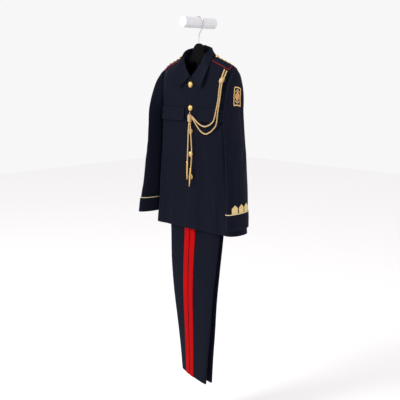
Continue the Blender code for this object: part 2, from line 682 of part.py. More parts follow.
def on_shoulder(x, drop, side, front, lift):
    """Point of the shoulder at a distance below its seam, moved out by lift."""
    t = NECK_SHARE + (x - NECK_X) / (SHOULDER_X - NECK_X) * (1 - NECK_SHARE)
    height = top_point(t, side, front)[2] - ARMPIT_Z
    step = 0.01
    r = 2 - max(drop, 0.0001) / height
    here = body_point(t, r, side, front)
    across = body_point(t + step, r, side, front) - body_point(t - step, r, side, front)
    up = body_point(t, r, side, front) - body_point(t, r - step, side, front)
    normal = np.cross(across, up)
    normal /= np.linalg.norm(normal)
    if normal[2] < 0:
        normal = -normal
    return here + normal * lift


def strap_point(x, place, side, lift):
    """Point of an epaulette: place runs from -1 at the front edge to 1 at the back edge."""
    drop = STRAP_DROP * abs(place) ** 1.6
    point = on_shoulder(x, drop, side, place < 0, lift)
    if abs(place) < 0.01:
        point = np.array([side * x, HANG_Y, top_point(
            NECK_SHARE + (x - NECK_X) / (SHOULDER_X - NECK_X) * (1 - NECK_SHARE),
            side, True)[2] + lift * 1.25])
    return point


STRAP_PLACES = (-1.0, -0.75, -0.45, 0.0, 0.45, 0.75, 1.0)
for side_name, side in SIDES:
    strap_x = np.linspace(STRAP_INNER_X, STRAP_OUTER_X, 6)
    outer = np.array([[strap_point(x, place, side, STRAP_LIFT + STRAP_THICKNESS)
                       for place in STRAP_PLACES] for x in strap_x])
    inner = np.array([[strap_point(x, place, side, STRAP_LIFT)
                       for place in STRAP_PLACES] for x in strap_x])
    wall("epaulette_" + side_name, outer, inner, NAVY_TRIM)

    edge_out = STRAP_CORD_RADIUS + 2 * GAP
    middle_layer = (outer + inner) / 2
    front_line, back_line, end_line = middle_layer[:, 0], middle_layer[:, -1], middle_layer[-1]
    front_way = front_line - middle_layer[:, 1]
    front_way /= np.linalg.norm(front_way, axis=1, keepdims=True)
    back_way = back_line - middle_layer[:, -2]
    back_way /= np.linalg.norm(back_way, axis=1, keepdims=True)
    end_way = end_line - middle_layer[-2]
    end_way /= np.linalg.norm(end_way, axis=1, keepdims=True)
    front_side = (front_line + front_way * edge_out)[:-1]
    back_side = (back_line + back_way * edge_out)[:-1][::-1]
    corner_front = front_line[-1] + (front_way[-1] + end_way[0]) * edge_out
    corner_back = back_line[-1] + (back_way[-1] + end_way[-1]) * edge_out
    end_side = (end_line + end_way * edge_out)[1:-1]
    piping = np.vstack([front_side, corner_front, end_side, corner_back, back_side])
    tube_curve("epaulette_piping_" + side_name, piping, STRAP_CORD_RADIUS, PIPING_RED, 1)

    slope = np.array([side * (SHOULDER_X - NECK_X), 0.0, SHOULDER_Z - NECK_Z])
    upright = np.array([-slope[2] * side, 0.0, abs(slope[0])])
    upright /= np.linalg.norm(upright)
    seat = strap_point(STRAP_BUTTON_X, 0.0, side, STRAP_LIFT + STRAP_THICKNESS) + upright * 2 * GAP
    turned("epaulette_button_" + side_name,
           button_profile(STRAP_BUTTON_RADIUS, STRAP_BUTTON_RADIUS * 0.8), GOLD_METAL, seat,
           upright, segments=12)
    tangent = slope / np.linalg.norm(slope)
    lateral = np.cross(upright, tangent)
    for number, x in enumerate(STAR_X, start=1):
        seat = strap_point(x, 0.0, side, STRAP_LIFT + STRAP_THICKNESS) + upright * 2 * GAP
        rim = []
        for k in range(12):
            radius = STAR_RADIUS * (1.0 if k % 2 == 0 else 0.52)
            angle = k * math.pi / 6
            rim.append(seat + (tangent * math.cos(angle) + lateral * math.sin(angle)) * radius)
        rim = np.array(rim)
        lip = rim + upright * STAR_HEIGHT * 0.35
        points = np.vstack([seat, rim, lip, seat + upright * STAR_HEIGHT])
        faces = []
        for k in range(12):
            following = (k + 1) % 12
            faces.append((0, 1 + k, 1 + following))
            faces.append((1 + k, 13 + k, 13 + following, 1 + following))
            faces.append((13 + k, 25, 13 + following))
        add_solid(f"epaulette_star_{side_name}_{number}", points, faces, GOLD_METAL, 10.0)


def leg_section(z, which, lift=0.0):
    """Centre, half axis along the section and half axis across it, for one leg at a height.

    which is -1 for the left leg, in front, and 1 for the right leg, behind it.
    """
    _, x, y, half_width, turn, spread = through(TROUSERS, z)
    angle = math.radians(turn)
    along_way = np.array([math.cos(angle), -math.sin(angle), 0.0])
    across_way = np.array([math.sin(angle), math.cos(angle), 0.0])
    centre = np.array([x, y, z]) + across_way * which * spread
    return (centre, along_way * (half_width + lift), across_way * (LEG_HALF_THICKNESS + lift))


def flat_ring(centre, along_axis, across_axis, angles):
    """Ring of a flattened tube: pointed at its two creases, flat between them."""
    share = np.sign(np.sin(angles)) * np.abs(np.sin(angles)) ** 0.8
    return centre + np.outer(np.cos(angles), along_axis) - np.outer(share, across_axis)


LEG_ANGLES = np.linspace(0, 2 * math.pi, 22, endpoint=False)
LEG_HEIGHTS = np.array([CROTCH_Z, -0.640, -0.720, -0.840, -0.950, -1.060, -1.160, HEM_LEG_Z])
for name, which in (("trouser_leg_left", -1.0), ("trouser_leg_right", 1.0)):
    outer = np.array([flat_ring(*leg_section(z, which), LEG_ANGLES) for z in LEG_HEIGHTS])
    inner = np.array([flat_ring(*leg_section(z, which, -CLOTH), LEG_ANGLES) for z in LEG_HEIGHTS])
    wall(name, outer, inner, NAVY, tube=True)


def seat_section(z, lift=0.0):
    """Section of the trousers above the legs: one flat tube round both."""
    _, x, y, half_width, _, spread = through(TROUSERS, z)
    share = fade(z, CROTCH_Z, WAIST_BOTTOM)
    thickness = WAIST_HALF_THICKNESS + (LEG_HALF_THICKNESS - WAIST_HALF_THICKNESS) * share + spread
    centre = np.array([x, y, z])
    return (centre, np.array([half_width + lift, 0.0, 0.0]), np.array([0.0, thickness + lift, 0.0]))


SEAT_HEIGHTS = np.array([WAIST_BOTTOM - GAP, -0.395, -0.450, -0.510, CROTCH_Z + GAP])
outer = np.array([flat_ring(*seat_section(z), LEG_ANGLES) for z in SEAT_HEIGHTS])
inner = np.array([flat_ring(*seat_section(z, -CLOTH), LEG_ANGLES) for z in SEAT_HEIGHTS])
wall("trouser_seat", outer, inner, NAVY, tube=True)
WAIST_HEIGHTS = np.array([WAIST_TOP, WAIST_BOTTOM])
outer = np.array([flat_ring(*seat_section(z), LEG_ANGLES) for z in WAIST_HEIGHTS])
inner = np.array([flat_ring(*seat_section(z, -CLOTH), LEG_ANGLES) for z in WAIST_HEIGHTS])
wall("waistband", outer, inner, NAVY_TRIM, tube=True)


def trouser_skin(z, offset, which, lift):
    """Point of the trousers' outer face at a distance from the middle of the section."""
    if z <= CROTCH_Z:
        centre, along_axis, across_axis = leg_section(z, which)
    else:
        centre, along_axis, across_axis = seat_section(z)
    width = np.linalg.norm(along_axis)
    angle = math.acos(max(-1.0, min(1.0, offset / width)))
    side_angle = angle if which < 0 else -angle
    point = flat_ring(centre, along_axis, across_axis, np.array([side_angle]))[0]
    return point + across_axis / np.linalg.norm(across_axis) * which * lift


BAND_HEIGHTS = np.array([-0.350, -0.400, -0.450, -0.510, -0.560, -0.570, -0.640, -0.720, -0.780,
                         -0.840, -0.895, -0.950, -1.005, -1.060, -1.110, -1.160, -1.200,
                         HEM_LEG_Z + GAP])
for leg_name, which in (("left", -1.0), ("right", 1.0)):
    for band_name, way in (("front", -1.0), ("back", 1.0)):
        middle_offset = BAND_OFFSET + way * (BAND_WIDTH + BAND_SPACE) / 2
        offsets = middle_offset + np.linspace(-0.5, 0.5, 3) * BAND_WIDTH
        layers = [np.array([[trouser_skin(z, offset, which, lift) for offset in offsets]
                            for z in BAND_HEIGHTS]) for lift in (0.0009 + TRIM, 0.0009)]
        wall(f"side_band_{leg_name}_{band_name}", layers[0], layers[1], RED)

turned("wall_peg", [(0.0, 0.0), (PEG_RADIUS, 0.0), (PEG_RADIUS, PEG_LENGTH - PEG_EDGE),
                    (PEG_RADIUS - PEG_EDGE, PEG_LENGTH), (0.0, PEG_LENGTH)], PEG_PAINT,
       np.zeros(3), (0.0, -1.0, 0.0), segments=28)

hook_centre_z = PEG_RADIUS + GAP + WIRE_RADIUS - HOOK_RADIUS
hook_angles = np.radians(np.linspace(HOOK_TIP_ANGLE, -50.0, 16))
hook = [(HOOK_RADIUS * math.cos(a), HANG_Y, hook_centre_z + HOOK_RADIUS * math.sin(a))
        for a in hook_angles]
hook += [(0.0060, HANG_Y, -0.0300), (0.0012, HANG_Y, -0.0370), (0.0, HANG_Y, STEM_TOP),
         (0.0, HANG_Y, STEM_BOTTOM)]
tube_curve("hanger_hook", smooth_route(hook, 0.0055), WIRE_RADIUS, STEEL)

hump_arc = [(HUMP_HALF_WIDTH * math.cos(a), HUMP_TOP - 0.030 + 0.030 * math.sin(a))
            for a in np.radians([15, 35, 60, 78, 90])]
right_half = [(0.0, HUMP_TOP)] + hump_arc[-2::-1]
right_half += [(HUMP_HALF_WIDTH + 0.001, -0.1010), (0.060, -0.1206), (0.110, -0.1368),
               (ARM_REACH - 0.006, -0.1494), (ARM_REACH, -0.1600), (ARM_REACH - 0.006, -0.1670),
               (0.110, -0.1590), (0.060, -0.1420), (LINK_HALF_WIDTH + 0.006, -0.1270),
               (LINK_HALF_WIDTH, -0.1340), (LINK_HALF_WIDTH, BAR_TOP), (BAR_HALF_LENGTH, BAR_TOP),
               (BAR_HALF_LENGTH, BAR_BOTTOM)]
left_half = [(-x, z) for x, z in right_half[::-1] if x > 0]
outline = np.array(right_half + left_half)
count = len(outline)
points = []
for y_shift, shrink in ((-1, 0.0015), (-1, 0.0), (1, 0.0), (1, 0.0015)):
    towards = np.roll(outline, -1, axis=0) - np.roll(outline, 1, axis=0)
    inward = np.column_stack([-towards[:, 1], towards[:, 0]])
    inward /= np.linalg.norm(inward, axis=1, keepdims=True)
    ring = outline - inward * shrink
    depth = HANGER_HALF_THICKNESS - (0.0 if shrink else 0.0015)
    points.append(np.column_stack([ring[:, 0], np.full(count, HANG_Y + y_shift * depth), ring[:, 1]]))
faces = [tuple(range(count)), tuple(range(4 * count - 1, 3 * count - 1, -1))]
for layer in range(3):
    for k in range(count):
        following = (k + 1) % count
        low = layer * count
        faces.append((low + k, low + count + k, low + count + following, low + following))
add_solid("hanger_body", np.vstack(points), faces, PLASTIC_BLACK)

for side_name, side in SIDES:
    for face_name, way in (("front", -1.0), ("back", 1.0)):
        near = WAIST_HALF_THICKNESS + GAP
        x_low, x_high = side * CLIP_X - CLIP_WIDTH / 2, side * CLIP_X + CLIP_WIDTH / 2
        bevel = 0.001
        corners = []
        for y, inset in ((near, 0.0), (near + CLIP_THICKNESS - bevel, 0.0),
                         (near + CLIP_THICKNESS, bevel)):
            for x, z in ((x_low + inset, CLIP_BOTTOM + inset), (x_high - inset, CLIP_BOTTOM + inset),
                         (x_high - inset, CLIP_TOP - inset), (x_low + inset, CLIP_TOP - inset)):
                corners.append((x, HANG_Y + way * y, z))
        faces = [(0, 1, 2, 3), (11, 10, 9, 8)]
        for layer in range(2):
            for k in range(4):
                following = (k + 1) % 4
                low = layer * 4
                faces.append((low + k, low + 4 + k, low + 4 + following, low + following))
        add_solid(f"clip_{side_name}_{face_name}", corners, faces, PLASTIC_BLACK)

front_cord = smooth_route(FRONT_CORD, CORD_STEP)
back_cord = smooth_route(BACK_CORD, CORD_STEP)
tube_curve("cord_front", front_cord, CORD_RADIUS, GOLD_CORD)
tube_curve("cord_back", back_cord, CORD_RADIUS, GOLD_CORD)
tube_curve("cord_loop", smooth_route(LOOP, 0.0035), LOOP_RADIUS, GOLD_CORD)

knot_place = np.array([KNOT_X, KNOT_Y, KNOT_BOTTOM])
knot_height = KNOT_TOP - KNOT_BOTTOM
knot_profile = [(0.0, 0.0), (KNOT_RADIUS * 0.8, 0.0)]
for ridge in range(4):
    low = knot_height * (ridge + 0.12) / 4
    high = knot_height * (ridge + 0.88) / 4
    knot_profile += [(KNOT_RADIUS * 0.86, low), (KNOT_RADIUS, (low + high) / 2),
                     (KNOT_RADIUS * 0.86, high)]
knot_profile += [(KNOT_RADIUS * 0.8, knot_height), (0.0, knot_height)]
turned("cord_knot", knot_profile, GOLD_CORD, knot_place, (0.0, 0.0, 1.0), segments=12)

for side_name, route in PENDANTS.items():
    points = smooth_route(route, 0.0125)
    tube_curve("pendant_" + side_name, points, PENDANT_RADIUS, GOLD_CORD)
    way = points[-1] - points[-2]
    way /= np.linalg.norm(way)
    tip_profile = [(0.0, 0.0), (TIP_RADIUS * 0.8, 0.0), (TIP_RADIUS, 0.0015), (TIP_RADIUS, 0.0045),
                   (TIP_RADIUS * 0.7, 0.0065), (TIP_RADIUS * 0.92, 0.012),
                   (TIP_RADIUS * 0.86, TIP_LENGTH * 0.6), (TIP_RADIUS * 0.45, TIP_LENGTH * 0.9),
                   (0.0, TIP_LENGTH)]
    turned("pendant_tip_" + side_name, tip_profile, GOLD_METAL, points[-1] + way * GAP, way, 10)


def cord_at(points, z):
    """Place of a cord where it passes a height, on its way down."""
    upper = points[:np.argmin(points[:, 2]) + 1][::-1]
    return np.array([np.interp(z, upper[:, 2], upper[:, axis]) for axis in (0, 1)])


slider_outer, slider_inner = [], []
around = np.linspace(0, 2 * math.pi, 14, endpoint=False)
for z, thickness in zip(SLIDER_HEIGHTS, SLIDER_WALLS):
    ends = cord_at(front_cord, z), cord_at(back_cord, z)
    middle_place = (ends[0] + ends[1]) / 2
    between = ends[1] - ends[0]
    reach = np.linalg.norm(between)
    along_way = between / reach
    across_way = np.array([-along_way[1], along_way[0]])
    hole = CORD_RADIUS + SLIDER_CLEARANCE
    for extra, rings in ((thickness, slider_outer), (0.0, slider_inner)):
        flat = middle_place + np.outer(np.cos(around) * (hole + extra), along_way)
        flat += np.outer(np.sin(around) * (hole + extra), across_way)
        flat += np.outer(np.sign(np.round(np.cos(around), 6)) * reach / 2, along_way)
        rings.append(np.column_stack([flat, np.full(len(around), z)]))
wall("cord_slider", np.array(slider_outer), np.array(slider_inner), GOLD_CORD, tube=True)
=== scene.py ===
"""Communion uniform on a hanger and wall peg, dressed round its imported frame.

Metres. X runs to the viewer's right, Y into the wall, Z up. Left and right in the names are the
wearer's own.
"""
import math

import bmesh
import bpy
import numpy as np
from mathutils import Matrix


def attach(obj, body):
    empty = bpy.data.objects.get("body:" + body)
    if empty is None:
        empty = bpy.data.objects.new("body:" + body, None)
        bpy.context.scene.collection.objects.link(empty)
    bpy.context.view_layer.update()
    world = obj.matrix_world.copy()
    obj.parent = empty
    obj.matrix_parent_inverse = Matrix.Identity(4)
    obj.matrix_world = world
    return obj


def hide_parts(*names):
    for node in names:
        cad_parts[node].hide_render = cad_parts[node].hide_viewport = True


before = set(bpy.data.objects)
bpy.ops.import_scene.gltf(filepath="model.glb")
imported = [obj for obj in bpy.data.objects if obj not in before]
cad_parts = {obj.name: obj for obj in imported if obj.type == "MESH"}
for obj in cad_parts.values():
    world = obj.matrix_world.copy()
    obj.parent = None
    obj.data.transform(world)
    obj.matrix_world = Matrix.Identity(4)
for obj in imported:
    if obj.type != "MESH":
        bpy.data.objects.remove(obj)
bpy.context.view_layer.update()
scene = bpy.context.scene

# The room. A plain pale floor under the hanging set, a pale soft surround, a broad key light from
# the viewer's upper left and a weak one from the right. The camera stands at the photograph's
# angle, a little above the chest and well to the wearer's left.
FLOOR_Z = -1.42
FLOOR_HALF = 6.0


def plain_shader(name, colour, roughness, metallic=0.0):
    """A new material, with the given colour, roughness and metallic value on its shader."""
    material = bpy.data.materials.new(name)
    material.use_nodes = True
    shader = material.node_tree.nodes["Principled BSDF"]
    shader.inputs["Base Color"].default_value = (*colour, 1.0)
    shader.inputs["Roughness"].default_value = roughness
    shader.inputs["Metallic"].default_value = metallic
    return material


floor_mesh = bpy.data.meshes.new("floor")
floor_mesh.from_pydata([(-FLOOR_HALF, -FLOOR_HALF, FLOOR_Z), (FLOOR_HALF, -FLOOR_HALF, FLOOR_Z),
                        (FLOOR_HALF, FLOOR_HALF, FLOOR_Z), (-FLOOR_HALF, FLOOR_HALF, FLOOR_Z)],
                       [], [(0, 1, 2, 3)])
floor = bpy.data.objects.new("floor", floor_mesh)
scene.collection.objects.link(floor)
floor_mesh.materials.append(plain_shader("pale_floor", (0.94, 0.93, 0.935), 0.95))

surround = bpy.data.worlds.new("surround")
surround.use_nodes = True
surround.node_tree.nodes["Background"].inputs["Color"].default_value = (1.0, 0.99, 0.995, 1.0)
surround.node_tree.nodes["Background"].inputs["Strength"].default_value = 0.94
scene.world = surround
scene.view_settings.view_transform = "Standard"


def soft_light(name, place, target, size, watts):
    """A square area light at a place, turned to a target."""
    lamp = bpy.data.lights.new(name, "AREA")
    lamp.size = size
    lamp.energy = watts
    obj = bpy.data.objects.new(name, lamp)
    scene.collection.objects.link(obj)
    way = np.subtract(target, place)
    flat = math.hypot(way[0], way[1])
    obj.location = place
    obj.rotation_euler = (math.atan2(flat, -way[2]), 0.0, math.atan2(-way[0], way[1]))


soft_light("key_light", (-1.0, -2.5, 1.4), (0.0, -0.1, -0.5), 0.9, 60.0)
soft_light("side_light", (2.6, -1.2, 0.6), (0.0, -0.1, -0.6), 1.6, 16.0)

CAMERA_PLACE = (1.64, -1.74, -0.16)
CAMERA_TURN = 44.4
CAMERA_PITCH = 10.7
camera_data = bpy.data.cameras.new("camera")
camera_data.lens = 61.2
camera_data.sensor_width = 36.0
camera = bpy.data.objects.new("camera", camera_data)
scene.collection.objects.link(camera)
camera.location = CAMERA_PLACE
camera.rotation_euler = (math.radians(90.0 - CAMERA_PITCH), 0.0, math.radians(CAMERA_TURN))
scene.camera = camera

# The wall peg. A turned rod with a satin pale paint, fixed straight out of the wall, its free end
# eased by a small rounding.
PEG_RADIUS = 0.018
PEG_LENGTH = 0.146
PEG_EDGE = 0.0022
GAP = 0.0003


def smooth_mesh(name, points, faces, material, uv=None, paleness=None):
    """A closed smooth body from points and faces, its faces turned outward."""
    mesh = bpy.data.meshes.new(name)
    mesh.from_pydata(points.tolist(), [], faces.tolist() if hasattr(faces, "tolist") else faces)
    if uv is not None:
        layer = mesh.uv_layers.new(name="cloth_uv")
        layer.data.foreach_set("uv", uv.ravel())
    if paleness is not None:
        attribute = mesh.attributes.new("edge_paleness", "FLOAT", "POINT")
        attribute.data.foreach_set("value", paleness.ravel())
    body = bmesh.new()
    body.from_mesh(mesh)
    bmesh.ops.recalc_face_normals(body, faces=body.faces)
    body.to_mesh(mesh)
    body.free()
    mesh.shade_smooth()
    mesh.materials.append(material)
    obj = bpy.data.objects.new(name, mesh)
    scene.collection.objects.link(obj)
    return obj


def capped_rings(name, first, rings, last, material):
    """A body from rings of points, closed by fans of triangles to a first and a last point."""
    segments = rings.shape[1]
    k = np.arange(segments)
    after = (k + 1) % segments
    top = 1 + (len(rings) - 1) * segments
    faces = np.column_stack([np.zeros_like(k), 1 + k, 1 + after]).tolist()
    for low in range(1, top, segments):
        faces += np.column_stack([low + k, low + segments + k, low + segments + after,
                                  low + after]).tolist()
    faces += np.column_stack([top + k, np.full_like(k, top + segments), top + after]).tolist()
    return smooth_mesh(name, np.vstack([first, rings.reshape(-1, 3), last]), faces, material)


def unit(ways):
    """Ways brought to length 1 along their last axis."""
    return ways / np.maximum(np.linalg.norm(ways, axis=-1, keepdims=True), 1e-12)


def circle(count, across, other):
    """Ways of length 1 at even turns, from one way across towards the other."""
    turn = np.arange(count) * 2 * math.pi / count
    return np.outer(np.cos(turn), across) + np.outer(np.sin(turn), other)


def turned(name, profile, place, axis, material, segments=48):
    """A turned body: (radius, height) pairs carried round an axis; the profile's ends lie on it."""
    axis = unit(np.asarray(axis, float))
    helper = np.array([1.0, 0.0, 0.0]) if abs(axis[0]) < 0.8 else np.array([0.0, 1.0, 0.0])
    across = unit(np.cross(axis, helper))
    spokes = circle(segments, across, np.cross(axis, across))
    middle = np.asarray(profile[1:-1], float)
    rings = place + middle[:, 1, None, None] * axis + middle[:, 0, None, None] * spokes
    return capped_rings(name, place + axis * profile[0][1], rings,
                        place + axis * profile[-1][1], material)


def stand_for(obj, slot, *nodes):
    """The piece rides with the set and stands for its solids, which are hidden. The slot is not
    used.
    """
    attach(obj, "root")
    if nodes:
        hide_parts(*nodes)
    return obj


def node_of(material, kind, **values):
    """A new shader node in a material, with its settings."""
    node = material.node_tree.nodes.new(kind)
    for key, value in values.items():
        setattr(node, key, value)
    return node


def link(material, source, target):
    """Join two sockets of a material."""
    material.node_tree.links.new(source, target)


def settle(node, values):
    """Set a node's own input values by their names."""
    for name, value in values.items():
        node.inputs[name].default_value = value


def speckle(material, scale, detail=3.0):
    """Noise socket on Object coordinates, metres in the set's frame: so many lumps to a metre."""
    noise = node_of(material, "ShaderNodeTexNoise")
    settle(noise, {"Scale": scale, "Detail": detail, "Roughness": 0.6})
    place = node_of(material, "ShaderNodeTexCoord").outputs["Object"]
    link(material, place, noise.inputs["Vector"])
    return noise.outputs["Fac"]


def between(material, factor, low, high):
    """The factor's 0 to 1 changed to the span from low to high."""
    span = node_of(material, "ShaderNodeMapRange")
    settle(span, {"To Min": low, "To Max": high})
    link(material, factor, span.inputs["Value"])
    return span.outputs["Result"]


def colour_between(material, factor, dark, light):
    """Link the shader's colour to a straight ramp from dark to light, by a factor of 0 to 1."""
    ramp = node_of(material, "ShaderNodeValToRGB")
    ramp.color_ramp.elements[0].color = (*dark, 1.0)
    ramp.color_ramp.elements[1].color = (*light, 1.0)
    link(material, factor, ramp.inputs["Fac"])
    link(material, ramp.outputs["Color"], shader_of(material).inputs["Base Color"])


def gloss_between(material, factor, low, high):
    """Link the shader's roughness to a factor of 0 to 1, changed to the span low to high."""
    link(material, between(material, factor, low, high), shader_of(material).inputs["Roughness"])


def relief(material, height, strength, depth):
    """Bump from a height socket, linked to the shader's normal."""
    bump = node_of(material, "ShaderNodeBump")
    settle(bump, {"Strength": strength, "Distance": depth})
    link(material, height, bump.inputs["Height"])
    link(material, bump.outputs["Normal"], shader_of(material).inputs["Normal"])


def shader_of(material):
    """The material's main shader."""
    return material.node_tree.nodes["Principled BSDF"]


peg_paint = plain_shader("peg_paint", (0.66, 0.65, 0.68), 0.42)
colour_between(peg_paint, speckle(peg_paint, 60.0), (0.60, 0.595, 0.62), (0.72, 0.71, 0.735))
gloss_between(peg_paint, speckle(peg_paint, 220.0), 0.34, 0.52)
relief(peg_paint, speckle(peg_paint, 900.0), 0.12, 0.0002)

rounding = np.radians(np.linspace(0.0, 90.0, 7))
peg_profile = [(0.0, 0.0), (PEG_RADIUS - 0.0002, 0.0), (PEG_RADIUS, 0.0003),
               (PEG_RADIUS, 0.004), (PEG_RADIUS, PEG_LENGTH - PEG_EDGE - 0.002)]
peg_profile += [(PEG_RADIUS - PEG_EDGE * (1 - math.cos(a)),
                 PEG_LENGTH - PEG_EDGE * (1 - math.sin(a))) for a in rounding]
peg_profile += [(PEG_RADIUS - PEG_EDGE - 0.001, PEG_LENGTH), (0.0, PEG_LENGTH)]
stand_for(turned("peg", peg_profile, np.zeros(3), (0.0, -1.0, 0.0), peg_paint, 72),
          "pale_paint", "wall_peg")

# The hanger. A bright plated wire hook, bent over the peg and screwed into a black moulded body
# with sloping arms, and a bar below them that carries the trousers in two clips.
HANG_Y = -0.070
WIRE_RADIUS = 0.0018
HOOK_RADIUS = 0.0225
HOOK_TIP_ANGLE = 205.0
HANGER_HALF_THICKNESS = 0.0057
HANGER_EDGE = 0.0021
NOT_ALONG = (0.31, 0.52, 0.79)  # a way that no tube's start runs along


def through(table, places):
    """Every column of a table at the given places of its first column.

    Between two rows it is a cubic, with the rows' own values and the slopes of their neighbours.
    """
    rows = np.asarray(table, float)
    if rows[0, 0] > rows[-1, 0]:
        rows = rows[::-1]
    keys = rows[:, 0]
    slopes = np.gradient(rows, keys, axis=0)
    places = np.clip(np.asarray(places, float), keys[0], keys[-1])
    k = np.clip(np.searchsorted(keys, places, side="right") - 1, 0, len(keys) - 2)
    span = keys[k + 1] - keys[k]
    u = ((places - keys[k]) / span)[..., None]
    span = span[..., None]
    values = (rows[k] * (2 * u ** 3 - 3 * u ** 2 + 1) + rows[k + 1] * (3 * u ** 2 - 2 * u ** 3)
              + slopes[k] * span * (u ** 3 - 2 * u ** 2 + u)
              + slopes[k + 1] * span * (u ** 3 - u ** 2))
    return values[..., 1:]


def distances(points):
    """Distance of each point from the first one, along a line or down each column of a grid."""
    steps = np.linalg.norm(np.diff(points, axis=0), axis=-1)
    return np.concatenate([np.zeros_like(steps[:1]), np.cumsum(steps, axis=0)])


def at_distances(places, along, points):
    """Every column of a line's points, read off at places along it."""
    return np.stack([np.interp(places, along, column) for column in points.T], axis=-1)


def smooth_route(route, step):
    """Evenly spaced points of a smooth line through the route's points."""
    lengths = distances(route)
    fine = through(np.column_stack([lengths, route]), np.linspace(0, lengths[-1], 400))
    along = distances(fine)
    even = np.linspace(0, along[-1], max(4, round(along[-1] / step) + 1))
    return at_distances(even, along, fine)


def quads(values):
    """The values at the four corners of every cell of a grid."""
    return np.stack([values[:-1, :-1], values[:-1, 1:], values[1:, 1:], values[1:, :-1]], axis=2)


def tube_along(name, points, radius, columns, material, closed=False):
    """A section carried along a line of points, without twist; the ends are closed flat.

    The radius is a number, or a function of the distance along the line and the angle.
    """
    if closed:
        ways = unit(np.roll(points, -1, axis=0) - np.roll(points, 1, axis=0))
    else:
        ways = unit(np.gradient(points, axis=0))
    side = np.cross(ways[0], NOT_ALONG)
    sides = []
    for way in ways:
        side = unit(side - way * (side @ way))
        sides.append(side)
    sides = np.array(sides)
    others = np.cross(ways, sides)
    s = distances(points)
    angles = np.arange(columns) * 2 * math.pi / columns
    radius = radius(s[:, None], angles) if callable(radius) else radius
    radius = np.broadcast_to(radius, (len(points), columns))
    grid = (points[:, None] + sides[:, None] * (np.cos(angles) * radius)[..., None]
            + others[:, None] * (np.sin(angles) * radius)[..., None])
    index = np.arange(radius.size).reshape(radius.shape)
    if closed:
        index = np.vstack([index, index[:1]])
        s = np.append(s, s[-1] + np.diff(s).mean())
    index = np.hstack([index, index[:, :1]])
    faces = quads(index).reshape(-1, 4).tolist()
    girth = 2 * math.pi * float(radius.mean())
    u = np.arange(columns + 1) / columns * girth
    uv = quads(np.stack(np.broadcast_arrays(u[None, :], s[:, None]), axis=-1)).reshape(-1, 2)
    if not closed:
        for ring, place in ((index[0, :-1][::-1], s[0]), (index[-1, :-1], s[-1])):
            faces.append(ring.tolist())
            uv = np.vstack([uv, np.column_stack([np.linspace(0, girth, columns),
                                                 np.full(columns, place)])])
    obj = smooth_mesh(name, grid.reshape(-1, 3), faces, material, uv)
    if not closed:
        obj.data.set_sharp_from_angle(angle=math.radians(60))
    return obj


wire_steel = plain_shader("wire_steel", (0.62, 0.62, 0.64), 0.22, 1.0)
gloss_between(wire_steel, speckle(wire_steel, 500.0), 0.16, 0.32)
hook_centre_z = PEG_RADIUS + GAP + WIRE_RADIUS - HOOK_RADIUS
hook_turn = np.radians(np.linspace(HOOK_TIP_ANGLE, -50.0, 16))
hook = np.column_stack([HOOK_RADIUS * np.cos(hook_turn), np.full(16, HANG_Y),
                        hook_centre_z + HOOK_RADIUS * np.sin(hook_turn)])
hook = np.vstack([hook, [(0.0060, HANG_Y, -0.0300), (0.0012, HANG_Y, -0.0370),
                         (0.0, HANG_Y, -0.044), (0.0, HANG_Y, -0.0665)]])
stand_for(tube_along("hook", smooth_route(hook, 0.0016), WIRE_RADIUS, 16, wire_steel),
          "steel_wire", "hanger_hook")

black_plastic = plain_shader("black_plastic", (0.003, 0.003, 0.0035), 0.3)
settle(shader_of(black_plastic), {"Specular IOR Level": 0.025})
gloss_between(black_plastic, speckle(black_plastic, 140.0), 0.22, 0.42)
relief(black_plastic, speckle(black_plastic, 1500.0), 0.15, 0.0001)

# Half of the body's outline (x, z): a round hump, the arm out and back, and the trouser bar
hump_turn = np.radians([15, 35, 60, 78, 90])
hump = np.column_stack([0.026 * np.cos(hump_turn), -0.097 + 0.030 * np.sin(hump_turn)])
right_half = np.vstack([hump[::-1], [(0.027, -0.1010), (0.060, -0.1206), (0.110, -0.1368),
                                     (0.144, -0.1494), (0.150, -0.1600), (0.144, -0.1670),
                                     (0.110, -0.1590), (0.060, -0.1420), (0.013, -0.1270),
                                     (0.007, -0.1340), (0.007, -0.262), (0.130, -0.262),
                                     (0.130, -0.278)]])
outline = np.vstack([right_half, (right_half * (-1, 1))[:0:-1]])
eased = []  # each corner as a curve that starts and ends a little way along its two sides
for before, corner, following in zip(np.roll(outline, 1, axis=0), outline,
                                     np.roll(outline, -1, axis=0)):
    reach = 0.3 * min(np.linalg.norm(before - corner), np.linalg.norm(following - corner), 0.02)
    start = corner + unit(before - corner) * reach
    end = corner + unit(following - corner) * reach
    eased += [start * (1 - u) ** 2 + corner * 2 * u * (1 - u) + end * u ** 2
              for u in (0.0, 0.25, 0.5, 0.75, 1.0)]
outline = np.array(eased)
towards = np.roll(outline, -1, axis=0) - np.roll(outline, 1, axis=0)
inward = unit(np.column_stack([-towards[:, 1], towards[:, 0]]))
layers = []
edge_turn = np.radians(np.linspace(0.0, 90.0, 5))
for a in [*edge_turn, *(math.pi - edge_turn[::-1])]:
    ring = outline - inward * HANGER_EDGE * (1 - math.sin(a))
    y = HANG_Y - math.cos(a) * HANGER_EDGE
    y += math.copysign(HANGER_HALF_THICKNESS - HANGER_EDGE, y - HANG_Y)
    layers.append(np.column_stack([ring[:, 0], np.full(len(ring), y), ring[:, 1]]))
index = np.arange(len(layers) * len(outline)).reshape(-1, len(outline))
body_faces = quads(np.hstack([index, index[:, :1]])).reshape(-1, 4).tolist()
body_faces += [index[0].tolist(), index[-1][::-1].tolist()]
hanger = smooth_mesh("hanger", np.vstack(layers), body_faces, black_plastic)
hanger.data.set_sharp_from_angle(angle=math.radians(35))
stand_for(hanger, "black_plastic", "hanger_body")
for node in ("clip_left_front", "clip_left_back", "clip_right_front", "clip_right_back"):
    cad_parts[node].data.materials.clear()
    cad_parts[node].data.materials.append(black_plastic)

